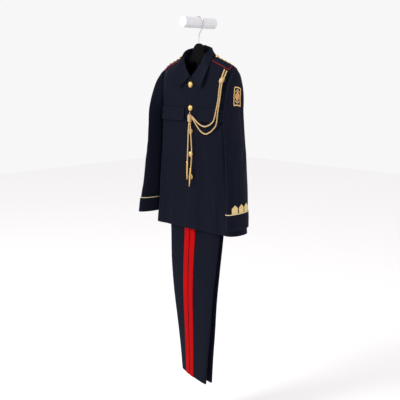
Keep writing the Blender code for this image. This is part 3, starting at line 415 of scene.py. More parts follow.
# The trousers. Navy wool cloth, pressed flat and hung by the waistband from the two clips, the left
# leg lying in front of the right one. Each outer side has two red woven bands sewn on, with a
# narrow strip of cloth between them.
CLOTH = 0.002
LEG_HALF_THICKNESS = 0.0085
WAIST_HALF_THICKNESS = 0.0060
WAIST_TOP = -0.310
WAIST_BOTTOM = -0.346
CROTCH_Z = -0.565
HEM_LEG_Z = -1.242
BAND_TOP_Z = -0.350
BAND_WIDTH = 0.0230
BAND_SPACE = 0.0045
BAND_OFFSET = -0.015
BAND_THICKNESS = 0.0015
BAND_LIFT = 0.0009
RIM_SHARE = 0.3  # how far a cloth edge bulges, as a share of its thickness
# how far in from a piece's edges its colour is made paler
PALE_EDGE_WIDTH = 0.0035
NAVY_DARK = (0.0024, 0.0031, 0.0078)
NAVY_LIGHT = (0.0056, 0.0068, 0.0150)
# height, centre (x, y), half width, turn in degrees and half distance between the two legs
TROUSERS = (
    (-0.310, -0.004, -0.0700, 0.145, 0.0, 0.0000),
    (-0.348, -0.004, -0.0700, 0.148, 0.0, 0.0010),
    (-0.450, -0.006, -0.0715, 0.146, 0.0, 0.0080),
    (-0.565, -0.008, -0.0730, 0.130, 0.0, 0.0095),
    (-0.720, -0.008, -0.0745, 0.120, 0.0, 0.0095),
    (-0.840, -0.011, -0.0785, 0.114, 2.0, 0.0100),
    (-0.950, -0.008, -0.0830, 0.106, 5.0, 0.0105),
    (-1.060, 0.002, -0.0885, 0.097, 8.5, 0.0110),
    (-1.160, 0.011, -0.0945, 0.088, 12.0, 0.0115),
    (-1.242, 0.017, -0.0985, 0.082, 14.5, 0.0120),
)
# Pressed-in lines of each leg: start and end (offset, height), half breadth, depth
LEG_CREASES = (
    (-0.105, -0.700, -0.020, -0.760, 0.012, 0.0012), (0.100, -0.735, 0.030, -0.770, 0.011, 0.0012),
    (-0.098, -0.900, -0.045, -0.935, 0.010, 0.0010), (0.085, -0.960, 0.020, -0.940, 0.012, 0.0009),
    (-0.070, -1.060, -0.064, -1.200, 0.010, 0.0008), (0.050, -1.090, 0.056, -1.230, 0.012, 0.0010),
    (0.020, -0.640, 0.060, -0.900, 0.020, 0.0009), (-0.060, -0.590, -0.080, -0.700, 0.018, 0.0012),
)


def threads(material, pitch, slant, **values):
    """Wave socket on the piece's own UV, in metres: threads a pitch apart, slanting or across."""
    wave = node_of(material, "ShaderNodeTexWave", bands_direction="DIAGONAL" if slant else "Y")
    metre_scale = 0.444 if slant else 0.314  # the scale that gives one wave to a metre
    settle(wave, {"Scale": metre_scale / pitch, **values})
    place = node_of(material, "ShaderNodeTexCoord").outputs["UV"]
    link(material, place, wave.inputs["Vector"])
    return wave.outputs["Fac"]


def weighted(material, value, weight, added, use_clamp=False):
    """Socket with the value times its weight, plus what is added, clamped to 0 to 1 if asked."""
    node = node_of(material, "ShaderNodeMath", operation="MULTIPLY_ADD", use_clamp=use_clamp)
    link(material, value, node.inputs[0])
    node.inputs[1].default_value = weight
    link(material, added, node.inputs[2])
    return node.outputs[0]


def wool(name, dark=NAVY_DARK, light=NAVY_LIGHT, rib=0.0010):
    """Twill wool: a fine slanting rib, uneven dye, lint, a soft nap, and a colour paler towards
    every edge and rim of a piece.
    """
    material = plain_shader(name, light, 0.86)
    settle(shader_of(material), {"Sheen Weight": 0.03, "Sheen Roughness": 0.45,
                                 "Sheen Tint": (0.55, 0.60, 0.80, 1.0),
                                 "Specular IOR Level": 0.06})
    twill = threads(material, rib, True, **{"Distortion": 1.2, "Detail Scale": 2.0})
    dye = speckle(material, 26.0, 4.0)
    lint = speckle(material, 1400.0, 2.0)
    blend = weighted(material, lint, 0.45, between(material, dye, -0.05, 0.55))
    # The colour is made paler towards every edge of the piece and on its rims, read from the mesh's
    # attribute
    paler_edges = node_of(material, "ShaderNodeAttribute", attribute_name="edge_paleness").outputs["Fac"]
    colour_between(material, weighted(material, paler_edges, 0.2, blend, use_clamp=True), dark, light)
    gloss_between(material, dye, 0.78, 0.92)
    relief(material, weighted(material, twill, 0.6, lint), 0.35, 0.00025)
    return material


def arcs(grid, axis):
    """Distance of each point of a grid from the first one in its column (0) or its row (1)."""
    return distances(grid) if axis == 0 else distances(grid.swapaxes(0, 1)).T


def outward(grid):
    """Unit normals of a tube's grid of points, turned away from the middle of each row."""
    across = np.roll(grid, -1, axis=1) - np.roll(grid, 1, axis=1)
    normals = unit(np.cross(np.gradient(grid, axis=0), across))
    facing = np.sum(normals * (grid - grid.mean(axis=1, keepdims=True)), axis=2).mean()
    return normals if facing > 0 else -normals


def cloth_sheet(name, outer, material, closed=False, thickness=CLOTH, inner=None):
    """A thin cloth wall on a grid of points (rows, columns, xyz), with softly turned edges.

    A tube's inner face, where none is given, is the outer one moved in by the thickness along its
    normals. A rounded rim joins the two faces. A closed grid's last column joins its first.
    """
    rows, columns = outer.shape[:2]
    if inner is None:
        inner = outer - outward(outer) * thickness
    count = rows * columns
    index = np.arange(count).reshape(rows, columns)
    flat_u, flat_v = arcs(outer, 1), arcs(outer, 0)
    flat_u = flat_u - flat_u[:, columns // 2:columns // 2 + 1]
    if closed:
        index = np.hstack([index, index[:, :1]])
        step = np.linalg.norm(outer[:, :1] - outer[:, -1:], axis=2)
        flat_u = np.hstack([flat_u, flat_u[:, -1:] + step])
        flat_v = np.hstack([flat_v, flat_v[:, :1]])
    uv = np.stack([flat_u, flat_v], axis=2)
    skin = quads(index).reshape(-1, 4)
    skin_uv = quads(uv).reshape(-1, 4, 2)
    faces = [skin, skin[:, ::-1] + count]
    face_uv = [skin_uv, skin_uv[:, ::-1]]
    middle = (outer + inner) / 2
    away = np.zeros_like(middle)  # from each edge point, away from the cloth
    away[0] += middle[0] - middle[1]
    away[-1] += middle[-1] - middle[-2]
    if closed:
        rims = [(index[0], uv[0]), (index[-1], uv[-1])]
    else:
        away[:, 0] += middle[:, 0] - middle[:, 1]
        away[:, -1] += middle[:, -1] - middle[:, -2]
        line = np.concatenate([index[0, :-1], index[:-1, -1], index[-1, :0:-1], index[:0:-1, 0],
                               index[0, :1]])
        rims = [(line, uv.reshape(-1, 2)[line])]
    bulged = (middle + unit(away) * thickness * RIM_SHARE).reshape(-1, 3)
    points = [outer.reshape(-1, 3), inner.reshape(-1, 3)]
    total = 2 * count
    for line, flat in rims:
        points.append(bulged[line[:-1]])
        k = np.arange(len(line) - 1)
        after = (k + 1) % len(k)
        faces.append(np.column_stack([line[:-1], line[1:], total + after, total + k]))
        faces.append(np.column_stack([total + k, total + after, line[1:] + count,
                                      line[:-1] + count]))
        edge_uv = np.stack([flat[:-1], flat[1:], flat[1:], flat[:-1]], axis=1)
        face_uv += [edge_uv, edge_uv]
        total += len(k)
    # Paleness of the colour: full on the rims, fading within a few millimetres of every edge of the
    # two faces, seam joins included
    to_edge = np.minimum(flat_v[:, :columns] - flat_v[:1, :columns],
                         flat_v[-1:, :columns] - flat_v[:, :columns])
    if not closed:
        to_edge = np.minimum(to_edge, np.minimum(flat_u - flat_u[:, :1], flat_u[:, -1:] - flat_u))
    paleness = np.exp(-(to_edge / PALE_EDGE_WIDTH) ** 2).ravel()
    paleness = np.concatenate([paleness, paleness, np.ones(total - 2 * count)])
    return smooth_mesh(name, np.vstack(points), np.vstack(faces), material,
                       np.vstack(face_uv).reshape(-1, 2), paleness)


def sewn(name, slot, node, outer, material, held, rests_on, closed=False, **wall):
    """A cloth piece that stands for its solid.

    Its width and length are measured on its outer face, all round on a tube.
    """
    piece = stand_for(cloth_sheet(name, outer, material, closed, **wall), slot, node)
    ring = np.concatenate([outer, outer[:, :1]], axis=1) if closed else outer
    width, length = arcs(ring, 1)[:, -1].max(), arcs(ring, 0)[-1].max()


def pressed(across, down, lines):
    """Depth of creases at places (across, down): each falls off like a bell from its own line."""
    depth = np.zeros(np.broadcast(across, down).shape)
    for across_0, down_0, across_1, down_1, breadth, deep in lines:
        run, drop = across_1 - across_0, down_1 - down_0
        share = ((across - across_0) * run + (down - down_0) * drop) / (run * run + drop * drop)
        share = np.clip(share, 0.0, 1.0)
        away = np.hypot(across - across_0 - share * run, down - down_0 - share * drop)
        depth += deep * np.exp(-(away / breadth) ** 2)
    return depth


def fade(value, start, end):
    """Smooth change from 1 at the start to 0 at the end."""
    u = np.clip((value - start) / (end - start), 0.0, 1.0)
    return 1 - u * u * (3 - 2 * u)


def uneven(across, down, size, reach):
    """A gentle uneven surface: three crossing waves of unlike lengths."""
    return reach * (np.sin(across / size * 5.1 + down / size * 2.3) * 0.45
                    + np.sin(down / size * 4.3 - across / size * 1.7 + 1.1) * 0.35
                    + np.sin(across / size * 8.7 + down / size * 7.9 + 2.7) * 0.20)


def trouser_section(z, which):
    """Centre, and half axes along and across the section, of a leg (-1 front, 1 back) at heights.

    Above the crotch one flat tube goes round both legs.
    """
    x, y, half_width, turn, spread = np.moveaxis(through(TROUSERS, z), -1, 0)
    on_leg = z <= CROTCH_Z
    angle = np.radians(np.where(on_leg, turn, 0.0))
    zero = np.zeros_like(angle)
    along_way = np.stack([np.cos(angle), -np.sin(angle), zero], axis=-1)
    across_way = np.stack([np.sin(angle), np.cos(angle), zero], axis=-1)
    seat_share = fade(z, CROTCH_Z, WAIST_BOTTOM)
    seat_half = (WAIST_HALF_THICKNESS + (LEG_HALF_THICKNESS - WAIST_HALF_THICKNESS) * seat_share
                 + spread)
    half = np.where(on_leg, LEG_HALF_THICKNESS, seat_half)
    aside = np.where(on_leg, which * spread, 0.0)
    centre = np.stack([x, y, z], axis=-1) + across_way * aside[..., None]
    return centre, along_way * half_width[..., None], across_way, half


def trouser_face(z, angles, which, creased=True):
    """Points of the trousers' outer face: a flattened tube, pointed at its two pressed edges."""
    centre, along_axis, across_way, half = trouser_section(z, which)
    share = np.sign(np.sin(angles)) * np.abs(np.sin(angles)) ** 0.8
    offset = np.cos(angles) * np.linalg.norm(along_axis, axis=-1)
    inset = 0.0
    if creased:
        front = np.sin(angles) > 0
        inset = np.where(front, pressed(offset * -which, z, LEG_CREASES),
                         pressed(offset * which, z + 0.03, LEG_CREASES))
        inset = inset + np.abs(uneven(offset, z, 0.16, 0.0007))
        inset = inset * np.abs(np.sin(angles)) ** 0.5 * fade(z, CROTCH_Z + 0.05, CROTCH_Z - 0.03)
    lift = (half - inset) * share
    return centre + along_axis * np.cos(angles)[..., None] - across_way * lift[..., None]


def with_edges(values, margin):
    """Even steps from the first to the last value, with one more step close to each end."""
    margin = margin * np.sign(values[-1] - values[0])
    return np.concatenate([values[:1], values[:1] + margin, values[1:-1], values[-1:] - margin,
                           values[-1:]])


navy_wool = wool("navy_wool")
navy_trim = wool("navy_trim", (0.0028, 0.0035, 0.0085), (0.0065, 0.0078, 0.0165), 0.0008)
for name, slot, node, which, top, bottom, rows, material, rests_on in (
        ("trouser_left_leg", "navy_wool", "trouser_leg_left", -1.0, CROTCH_Z, HEM_LEG_Z, 110,
         navy_wool, "trousers_seat"),
        ("trouser_right_leg", "navy_wool", "trouser_leg_right", 1.0, CROTCH_Z, HEM_LEG_Z, 110,
         navy_wool, "trousers_seat"),
        ("trousers_seat", "navy_wool", "trouser_seat", 1.0, WAIST_BOTTOM - GAP, CROTCH_Z + GAP,
         30, navy_wool, "hanger"),
        ("trousers_waistband", "navy_trim", "waistband", 1.0, WAIST_TOP, WAIST_BOTTOM, 8,
         navy_trim, "hanger")):
    heights = with_edges(np.linspace(top, bottom, rows), 0.001)
    z_grid, turn_grid = np.meshgrid(heights, np.arange(96) * 2 * math.pi / 96, indexing="ij")
    outer = trouser_face(z_grid, turn_grid, which, creased=top == CROTCH_Z)
    sewn(name, slot, node, outer, material, "hung", [rests_on], closed=True)

red_band = wool("red_band", (0.26, 0.0010, 0.002), (0.48, 0.0015, 0.003), 0.0012)
settle(shader_of(red_band), {"Sheen Tint": (1.0, 0.45, 0.45, 1.0), "Sheen Weight": 0.005})
for leg_name, which in (("left", -1.0), ("right", 1.0)):
    for band_name, way in (("front", -1.0), ("back", 1.0)):
        middle = BAND_OFFSET + way * (BAND_WIDTH + BAND_SPACE) / 2
        offsets = middle + with_edges(np.linspace(-0.5, 0.5, 13), 0.02) * BAND_WIDTH
        heights = with_edges(np.linspace(BAND_TOP_Z, HEM_LEG_Z + GAP, 150), 0.0006)
        z_grid, offset_grid = np.meshgrid(heights, offsets, indexing="ij")
        width = np.linalg.norm(trouser_section(z_grid, which)[1], axis=-1)
        angle = np.arccos(np.clip(offset_grid / width, -1.0, 1.0))
        face = trouser_face(z_grid, angle if which < 0 else -angle, which)
        face_way = trouser_section(z_grid, which)[2] * which
        edge = np.abs(offset_grid - middle) / (BAND_WIDTH / 2)
        plump = BAND_LIFT + BAND_THICKNESS * (1 - 0.45 * edge ** 8)
        outer = face + face_way * plump[..., None]
        inner = face + face_way * BAND_LIFT * 0.6
        sewn(f"red_band_{leg_name}_{band_name}", "red_band", f"side_band_{leg_name}_{band_name}",
             outer, red_band, "hung", [f"trouser_{leg_name}_leg"], inner=inner,
             thickness=BAND_THICKNESS)

# The jacket's back and two fronts. Navy wool twill, cut in three panels that meet at the shoulder
# and side seams, with the left front lapped over the right one. Each front has a long dart seam
# from the pocket to the hem, and soft folds fall from the armholes.
HEM_Z = -0.700
ARMPIT_Z = -0.310
FLAT_SHARE = 0.68
FLAT_HALF_WIDTH = 0.14
CROWN = 0.0025
FRONT_OVERLAP = 0.010
FRONT_UNDERLAP = 0.012
OVERLAP_FADE = 0.045
NECK_SHARE = 0.42
NECK_X, NECK_Z = 0.066, -0.110
NECK_FRONT = (-0.1040, -0.180)
NECK_BACK = (-0.0475, -0.099)
SHOULDER_X, SHOULDER_Z = 0.165, -0.149
SHOULDER_ROUNDING = 10.5
ARMHOLE_BOW = 0.012
ARMHOLE_FRONT = 0.036
ARMHOLE_BACK = 0.030
SEAM = 0.0018
SHOULDER_MITRE = 0.0034
# height, sideways sway, half width, corner radius, depth of the front and depth of the back
TORSO = (
    (-0.700, -0.006, 0.195, 0.028, -0.1035, -0.0075),
    (-0.610, -0.005, 0.186, 0.029, -0.1040, -0.0080),
    (-0.475, -0.004, 0.173, 0.030, -0.1045, -0.0090),
    (-0.367, -0.002, 0.165, 0.031, -0.1055, -0.0100),
    (-0.310, -0.001, 0.161, 0.032, -0.1055, -0.0110),
)
# Large soft folds below the armholes: place, half breadth, depth at the hem
FRONT_FOLDS = ((-0.125, 0.020, 0.0030), (-0.060, 0.022, 0.0020), (0.070, 0.024, 0.0035),
               (0.135, 0.016, 0.0040))
BACK_FOLDS = ((-0.110, 0.022, 0.0040), (-0.035, 0.026, 0.0030), (0.050, 0.022, 0.0045),
              (0.120, 0.018, 0.0030))
# Seams and creases: start and end (across, height), half breadth, depth
DART_SEAMS = [(way * x0, z0, way * x1, z1, 0.0024, 0.0011) for way in (-1.0, 1.0)
              for x0, z0, x1, z1 in ((0.086, -0.332, 0.104, -0.500),
                                     (0.104, -0.500, 0.124, -0.692))]
FRONT_CREASES = (
    (-0.138, -0.205, -0.098, -0.268, 0.009, 0.0016),
    (-0.143, -0.255, -0.120, -0.330, 0.010, 0.0015),
    (0.136, -0.215, 0.104, -0.262, 0.010, 0.0014), (0.146, -0.285, 0.118, -0.370, 0.011, 0.0018),
    (-0.150, -0.390, -0.140, -0.560, 0.010, 0.0014), (0.152, -0.420, 0.146, -0.610, 0.010, 0.0016),
    (-0.040, -0.380, -0.070, -0.470, 0.016, 0.0010), (0.040, -0.400, 0.060, -0.520, 0.018, 0.0011),
    (-0.030, -0.560, -0.045, -0.690, 0.014, 0.0012), (0.030, -0.590, 0.038, -0.690, 0.013, 0.0013),
    (0.092, -0.540, 0.100, -0.680, 0.012, 0.0012), (-0.160, -0.560, -0.168, -0.690, 0.009, 0.0014),
    (0.050, -0.205, 0.078, -0.180, 0.010, 0.0008), (-0.052, -0.205, -0.080, -0.182, 0.010, 0.0008),
)
BACK_CREASES = (
    (-0.135, -0.205, -0.090, -0.285, 0.012, 0.0018), (0.138, -0.200, 0.092, -0.270, 0.012, 0.0018),
    (-0.145, -0.300, -0.110, -0.420, 0.012, 0.0018), (0.146, -0.310, 0.118, -0.400, 0.012, 0.0016),
    (-0.060, -0.150, 0.055, -0.158, 0.010, 0.0010), (-0.020, -0.420, -0.040, -0.560, 0.016, 0.0012),
    (0.030, -0.380, 0.050, -0.540, 0.017, 0.0012), (-0.080, -0.560, -0.090, -0.690, 0.012, 0.0016),
    (0.000, -0.580, 0.004, -0.692, 0.014, 0.0014), (0.085, -0.560, 0.092, -0.690, 0.012, 0.0014),
)


def fold_depth(x, z, folds):
    """How far the large folds draw the cloth in, growing from the armholes to the hem."""
    grow = np.clip((ARMPIT_Z - z) / (ARMPIT_Z - HEM_Z), 0.0, 1.0) ** 1.4
    return grow * sum(depth * np.exp(-((x - place) / breadth) ** 2)
                      for place, breadth, depth in folds)


def ring_point(t, z, side, front):
    """Jacket body below the armholes: t runs from the centre line (0) to the side seam (1).

    The section is flat across, with a quarter of an ellipse at each side.
    """
    sway, half_width, corner, front_y, back_y = np.moveaxis(through(TORSO, z), -1, 0)
    middle_y = 0.5 * (front_y + back_y)
    reach = (front_y if front else back_y) - middle_y
    flat = half_width - corner
    angle = np.clip((t - FLAT_SHARE) / (1 - FLAT_SHARE), 0.0, 1.0) * math.pi / 2
    x = np.where(t < FLAT_SHARE, flat * t / FLAT_SHARE, flat + corner * np.sin(angle))
    y = middle_y + reach * np.cos(angle)
    way = -1.0 if front else 1.0
    y = y + way * CROWN * (1 - np.minimum(np.abs(x) / half_width, 1.0) ** 2)
    folds = FRONT_FOLDS if front else BACK_FOLDS
    y = y - way * fold_depth(side * x, z, folds) * fade(np.abs(x), flat, half_width)
    return np.stack([side * x + sway, y, z], axis=-1)


def top_point(t, side, front):
    """Upper edge of a body panel: a quarter ellipse of neckline, then the straight shoulder."""
    centre_y, centre_z = NECK_FRONT if front else NECK_BACK
    angle = np.minimum(np.abs(t) / NECK_SHARE, 1.0) * math.pi / 2
    rise = 1 - np.cos(angle)
    share = np.clip((t - NECK_SHARE) / (1 - NECK_SHARE), 0.0, None)
    x = NECK_X * np.sin(angle) * np.where(t >= 0, 1.0, -1.0) + (SHOULDER_X - NECK_X) * share
    y = centre_y + (HANG_Y - centre_y) * rise ** 1.3
    z = centre_z + (NECK_Z - centre_z) * rise + (SHOULDER_Z - NECK_Z) * share
    return np.stack([side * x, y, z], axis=-1)


def body_point(t, r, side, front):
    """Smooth outer face of the jacket body; r is 0 at the hem, 1 at the armpit, 2 at the top."""
    t, r = np.broadcast_arrays(np.asarray(t, float), np.asarray(r, float))
    below = ring_point(t, HEM_Z + (ARMPIT_Z - HEM_Z) * np.clip(r, 0.0, 1.0), side, front)
    s = np.clip(r - 1, 0.0, 1.0)
    low = ring_point(t, np.full(t.shape, ARMPIT_Z), side, front)
    high = top_point(t, side, front)
    point = low + (high - low) * s[..., None]
    point[..., 1] = low[..., 1] + (high - low)[..., 1] * s ** SHOULDER_ROUNDING
    hump = 4 * s * (1 - s)
    point[..., 0] -= side * ARMHOLE_BOW * hump * np.maximum(t, 0.0) ** 3
    side_share = np.clip((t - FLAT_SHARE) / (1 - FLAT_SHARE), 0.0, 1.0) ** 1.5
    point[..., 1] += (-ARMHOLE_FRONT if front else ARMHOLE_BACK) * hump ** 0.75 * side_share
    return np.where((r <= 1)[..., None], below, point)


def overlap_rise(x, side):
    """How far the left front stands out where it laps over the right one."""
    return (CLOTH + GAP) * fade(x, FRONT_UNDERLAP + 0.004, OVERLAP_FADE) * (side > 0)


def body_normal(t, r, low_r, high_r, side, front, step=0.01):
    """Unit normals of the jacket body, from small steps across it and up it."""
    across = body_point(t + step, r, side, front) - body_point(t - step, r, side, front)
    up = body_point(t, high_r, side, front) - body_point(t, low_r, side, front)
    return unit(np.cross(across, up))


def body_face(t, r, side, front):
    """Outer face of a body panel with its seams and creases, and the unit normals there."""
    t, r = np.broadcast_arrays(np.asarray(t, float), np.asarray(r, float))
    step = 0.004
    here = body_point(t, r, side, front)
    low_r, high_r = np.maximum(r - step, 0.0), np.minimum(r + step, 2.0)
    normal = body_normal(t, r, low_r, high_r, side, front, step)
    normal *= -1.0 if side * (1 if front else -1) < 0 else 1.0
    x, z = here[..., 0], here[..., 2]
    inset = pressed(x, z, FRONT_CREASES if front else BACK_CREASES)
    inset = inset + np.abs(uneven(x, z, 0.20, 0.0007))
    out = np.zeros_like(x)
    if front:
        inset = inset + pressed(x, z, DART_SEAMS)
        out = overlap_rise(x, side)
    calm = np.clip((1 - t) / 0.06, 0.0, 1.0) * np.clip((2 - r) / 0.12, 0.0, 1.0)
    return here + normal * (out - inset * calm)[..., None], normal


def body_panel(columns, side, front):
    """Outer and inner grid of one panel, with its inner edges cut back at the seams.

    The inner face's last rows are bent towards a straight mitre under the shoulder seam.
    """
    rows = np.concatenate([[0.0, 0.0018], np.linspace(0.0125, 1.0, 80),
                           1 + np.linspace(0.0, 1.0, 62)[1:] ** 0.9])
    r_grid, t_grid = np.meshgrid(rows, columns, indexing="ij")
    outer, normal = body_face(t_grid, r_grid, side, front)
    inner = outer - normal * CLOTH
    below = rows <= 1.0
    inner[below, -1] = outer[below, -1] - np.array([side * CLOTH, 0.0, 0.0])
    shoulder = columns >= NECK_SHARE - 0.02
    for back_row, share in ((1, 1.0), (2, 0.7), (3, 0.4)):
        straight = outer[-back_row, shoulder] - np.array([0.0, 0.0, SHOULDER_MITRE])
        inner[-back_row, shoulder] += (straight - inner[-back_row, shoulder]) * share
    away = np.array([0.0, -GAP if front else GAP, 0.0])
    outer[~below] += away
    inner[~below] += away
    return outer, inner


SIDES = (("left", 1.0), ("right", -1.0))
for side_name, side in SIDES:
    lap = (FRONT_OVERLAP if side > 0 else FRONT_UNDERLAP) / FLAT_HALF_WIDTH * FLAT_SHARE
    columns = np.concatenate([[-lap, -lap + 0.003], np.linspace(-lap + 0.012, FLAT_SHARE, 72),
                              np.linspace(FLAT_SHARE, 1 - SEAM, 20)[1:]])
    outer, inner = body_panel(columns, side, True)
    sewn(f"front_{side_name}", "navy_wool", f"jacket_front_{side_name}", outer, navy_wool,
         "hung", ["hanger"], inner=inner)

half = np.concatenate([np.linspace(0.0, FLAT_SHARE, 56),
                       np.linspace(FLAT_SHARE, 1 - SEAM, 20)[1:]])
left_half, right_half = body_panel(half, 1.0, False), body_panel(half, -1.0, False)
outer, inner = (np.concatenate([right[:, :0:-1], left], axis=1)
                for left, right in zip(left_half, right_half))
centre = len(half) - 1  # the column where the two mirrored halves meet
inner[:, centre, 0] = outer[:, centre, 0]
sewn("back", "navy_wool", "jacket_back", outer, navy_wool, "hung", ["hanger"], inner=inner)

# The sleeves. Each is one tube of the same cloth, eased into the armhole so that its head stands
# up a little, hanging forward over the pocket flaps, with creases at the elbow.
# outer edge (x, z), inner edge (x, z), depth of the centre (y), half depth and turn in degrees
SLEEVE = (
    (0.1765, -0.1690, 0.1640, -0.3150, -0.0765, 0.0430, 0.0),
    (0.1830, -0.2010, 0.1665, -0.3210, -0.0825, 0.0485, 2.0),
    (0.1865, -0.2500, 0.1690, -0.3320, -0.0880, 0.0535, 4.0),
    (0.1900, -0.3200, 0.1710, -0.3520, -0.0860, 0.0570, 6.0),
    (0.1980, -0.4000, 0.1735, -0.4100, -0.0845, 0.0590, 7.0),
    (0.2110, -0.4800, 0.1795, -0.4830, -0.0885, 0.0580, 7.0),
    (0.2225, -0.5600, 0.1880, -0.5610, -0.0945, 0.0565, 6.0),
    (0.2300, -0.6150, 0.1955, -0.6160, -0.1020, 0.0550, 5.0),
    (0.2360, -0.6625, 0.1995, -0.6635, -0.1060, 0.0540, 5.0),
)
# How far each sleeve hangs forward, which grows over a span below a height
SLEEVE_FORWARD = {"left": 0.007, "right": -0.007}
FORWARD_TOP_Z = -0.17
FORWARD_SPAN = 0.15
# Creases: start and end (distance round the sleeve from its outer edge, height), breadth, depth
SLEEVE_CREASES = (
    (0.046, -0.375, 0.020, -0.408, 0.007, 0.0022), (0.052, -0.405, 0.026, -0.428, 0.007, 0.0024),
    (0.050, -0.440, 0.018, -0.447, 0.008, 0.0018), (0.040, -0.335, 0.050, -0.395, 0.009, 0.0015),
    (0.030, -0.288, 0.048, -0.345, 0.010, 0.0016), (-0.024, -0.260, -0.040, -0.400, 0.012, 0.0020),
    (-0.030, -0.420, -0.012, -0.470, 0.010, 0.0016), (0.006, -0.450, 0.018, -0.555, 0.012, 0.0016),
    (-0.040, -0.480, -0.036, -0.565, 0.011, 0.0014), (0.048, -0.490, 0.050, -0.565, 0.009, 0.0014),
    (-0.026, -0.195, -0.024, -0.250, 0.011, 0.0010),
)


def sleeve_frames(side_name, side):
    """Centre, outward half axis and forward half axis of every sleeve ring, nine numbers each."""
    outer_x, outer_z, inner_x, inner_z, y, half_depth, turn = np.array(SLEEVE).T
    zero = np.zeros_like(y)
    centre_z = (outer_z + inner_z) / 2
    share = np.clip((FORWARD_TOP_Z - centre_z) / FORWARD_SPAN, 0.0, 1.0)
    centre_y = y - SLEEVE_FORWARD[side_name] * share
    angle = np.radians(turn)
    return np.column_stack([side * (outer_x + inner_x) / 2, centre_y, centre_z,
                            side * (outer_x - inner_x) / 2, zero, (outer_z - inner_z) / 2,
                            side * half_depth * np.sin(angle), -half_depth * np.cos(angle), zero])


def on_sleeve(turns, frames, lift=0.0):
    """Points of the sleeve at turns and frames that fit each other, moved out by a lift.

    Each ring is an ellipse on two half axes, and both are made longer by the lift.
    """
    centre, out, forward = frames[..., 0:3], frames[..., 3:6], frames[..., 6:9]
    lift = np.broadcast_to(lift, turns.shape)[..., None]
    out = out * (1 + lift / np.linalg.norm(out, axis=-1, keepdims=True))
    forward = forward * (1 + lift / np.linalg.norm(forward, axis=-1, keepdims=True))
    return centre + np.cos(turns)[..., None] * out + np.sin(turns)[..., None] * forward


def sleeve_ring(frames, turns, lift=0.0):
    """Points of whole sleeve rings, each with all the turns."""
    return on_sleeve(turns, frames[..., None, :], lift)


SLEEVE_TURNS = np.arange(80) * 2 * math.pi / 80


def ring_keys(rings):
    """Distance of each ring of a tube from the first one, as the mean over its points."""
    return distances(rings).mean(axis=1)


def sleeve_level(heights, side_name, side):
    """Frames of the smooth sleeve where its outer edge is at the given heights."""
    frames = sleeve_frames(side_name, side)
    table = np.column_stack([ring_keys(sleeve_ring(frames, SLEEVE_TURNS)), frames])
    fine = np.linspace(0.0, table[-1, 0], 400)
    fine_frames = through(table, fine)
    edge_z = fine_frames[:, 2] + fine_frames[:, 5]
    return through(table, np.interp(heights, edge_z[::-1], fine[::-1]))


round_share = (1 + np.cos(SLEEVE_TURNS)) / 2
for side_name, side in SIDES:
    head_front = body_point(1 - SEAM, 1 + round_share, side, True) - np.array([0.0, GAP, 0.0])
    head_back = body_point(1 - SEAM, 1 + round_share, side, False) + np.array([0.0, GAP, 0.0])
    on_front = (np.sin(SLEEVE_TURNS) > 1e-6)[:, None]
    on_seam = (np.abs(np.sin(SLEEVE_TURNS)) <= 1e-6)[:, None]
    head = np.where(on_front, head_front, head_back)
    head = np.where(on_seam, (head_front + head_back) / 2, head) + (side * 2.5 * GAP, 0.0, 0.0)
    rings = np.concatenate([head[None], sleeve_ring(sleeve_frames(side_name, side), SLEEVE_TURNS)])
    keys = ring_keys(rings)
    rows = with_edges(np.linspace(0.0, keys[-1], 120), 0.0012)
    table = np.column_stack([keys, rings.reshape(len(rings), -1)])
    outer = through(table, rows).reshape(len(rows), len(SLEEVE_TURNS), 3)
    girth = arcs(outer, 1)
    around = np.where(girth > girth[:, -1:] / 2, girth - girth[:, -1:], girth)
    inset = pressed(around, outer[..., 2], SLEEVE_CREASES)
    inset = inset + np.abs(uneven(around, outer[..., 2], 0.15, 0.0007))
    calm = np.clip(rows / 0.02, 0.0, 1.0) * np.clip((rows[-1] - rows) / 0.06, 0.0, 1.0)
    stand = 0.0013 * np.exp(-((rows - 0.012) / 0.006) ** 2)[:, None] * (0.4 + 0.6 * round_share)
    outer = outer + outward(outer) * (stand - inset * calm[:, None])[..., None]
    sewn(f"sleeve_{side_name}_tube", "navy_wool", f"sleeve_{side_name}", outer, navy_wool, "hung",
         [f"front_{side_name}", "back"], closed=True)

# The cuffs. A band of the same cloth is turned back on each sleeve end, its upper edge bound with
# a thin gold cord. Three pointed bars of gold braid stand above it on the outer side.
CUFF_TOP_Z = -0.6120
CUFF_BOTTOM_Z = -0.6620
CUFF_CORD_RADIUS = 0.0013
BRAID_PLACES = (0.031, 0.002, -0.027)
BRAID_HALF_WIDTH = 0.0118
BRAID_HEIGHT = 0.027
BRAID_SHOULDER = 0.64
BRAID_THICKNESS = 0.0015
BRAID_GROOVE = 0.0006


def braid(name, dark, light, pitch, slant=True):
    """Woven metal thread: slanting ridges, bright and dull threads, a half metallic gloss."""
    material = plain_shader(name, light, 0.5, 0.35)
    settle(shader_of(material), {"Sheen Weight": 0.15})
    ridges = threads(material, pitch, slant, Distortion=0.8)
    mottle = speckle(material, 420.0)
    blend = weighted(material, ridges, 0.6, between(material, mottle, -0.1, 0.6), use_clamp=True)
    colour_between(material, blend, dark, light)
    gloss_between(material, mottle, 0.38, 0.62)
    relief(material, ridges, 0.6, 0.0004)
    return material


gold_braid = braid("gold_braid", (0.42, 0.26, 0.06), (0.86, 0.66, 0.32), 0.0016, slant=False)
pale_braid = braid("pale_braid", (0.52, 0.40, 0.18), (0.90, 0.78, 0.50), 0.0014)


def sleeve_arc(height, side_name, side):
    """Turn of a point on the sleeve's outer half, by its distance round from the outer edge."""
    turns = np.radians(np.linspace(-90, 90, 181))
    line = sleeve_ring(sleeve_level(np.array(height), side_name, side), turns)
    along = distances(line)
    along -= np.interp(0.0, turns, along)
    return lambda places: np.interp(places, along, turns)


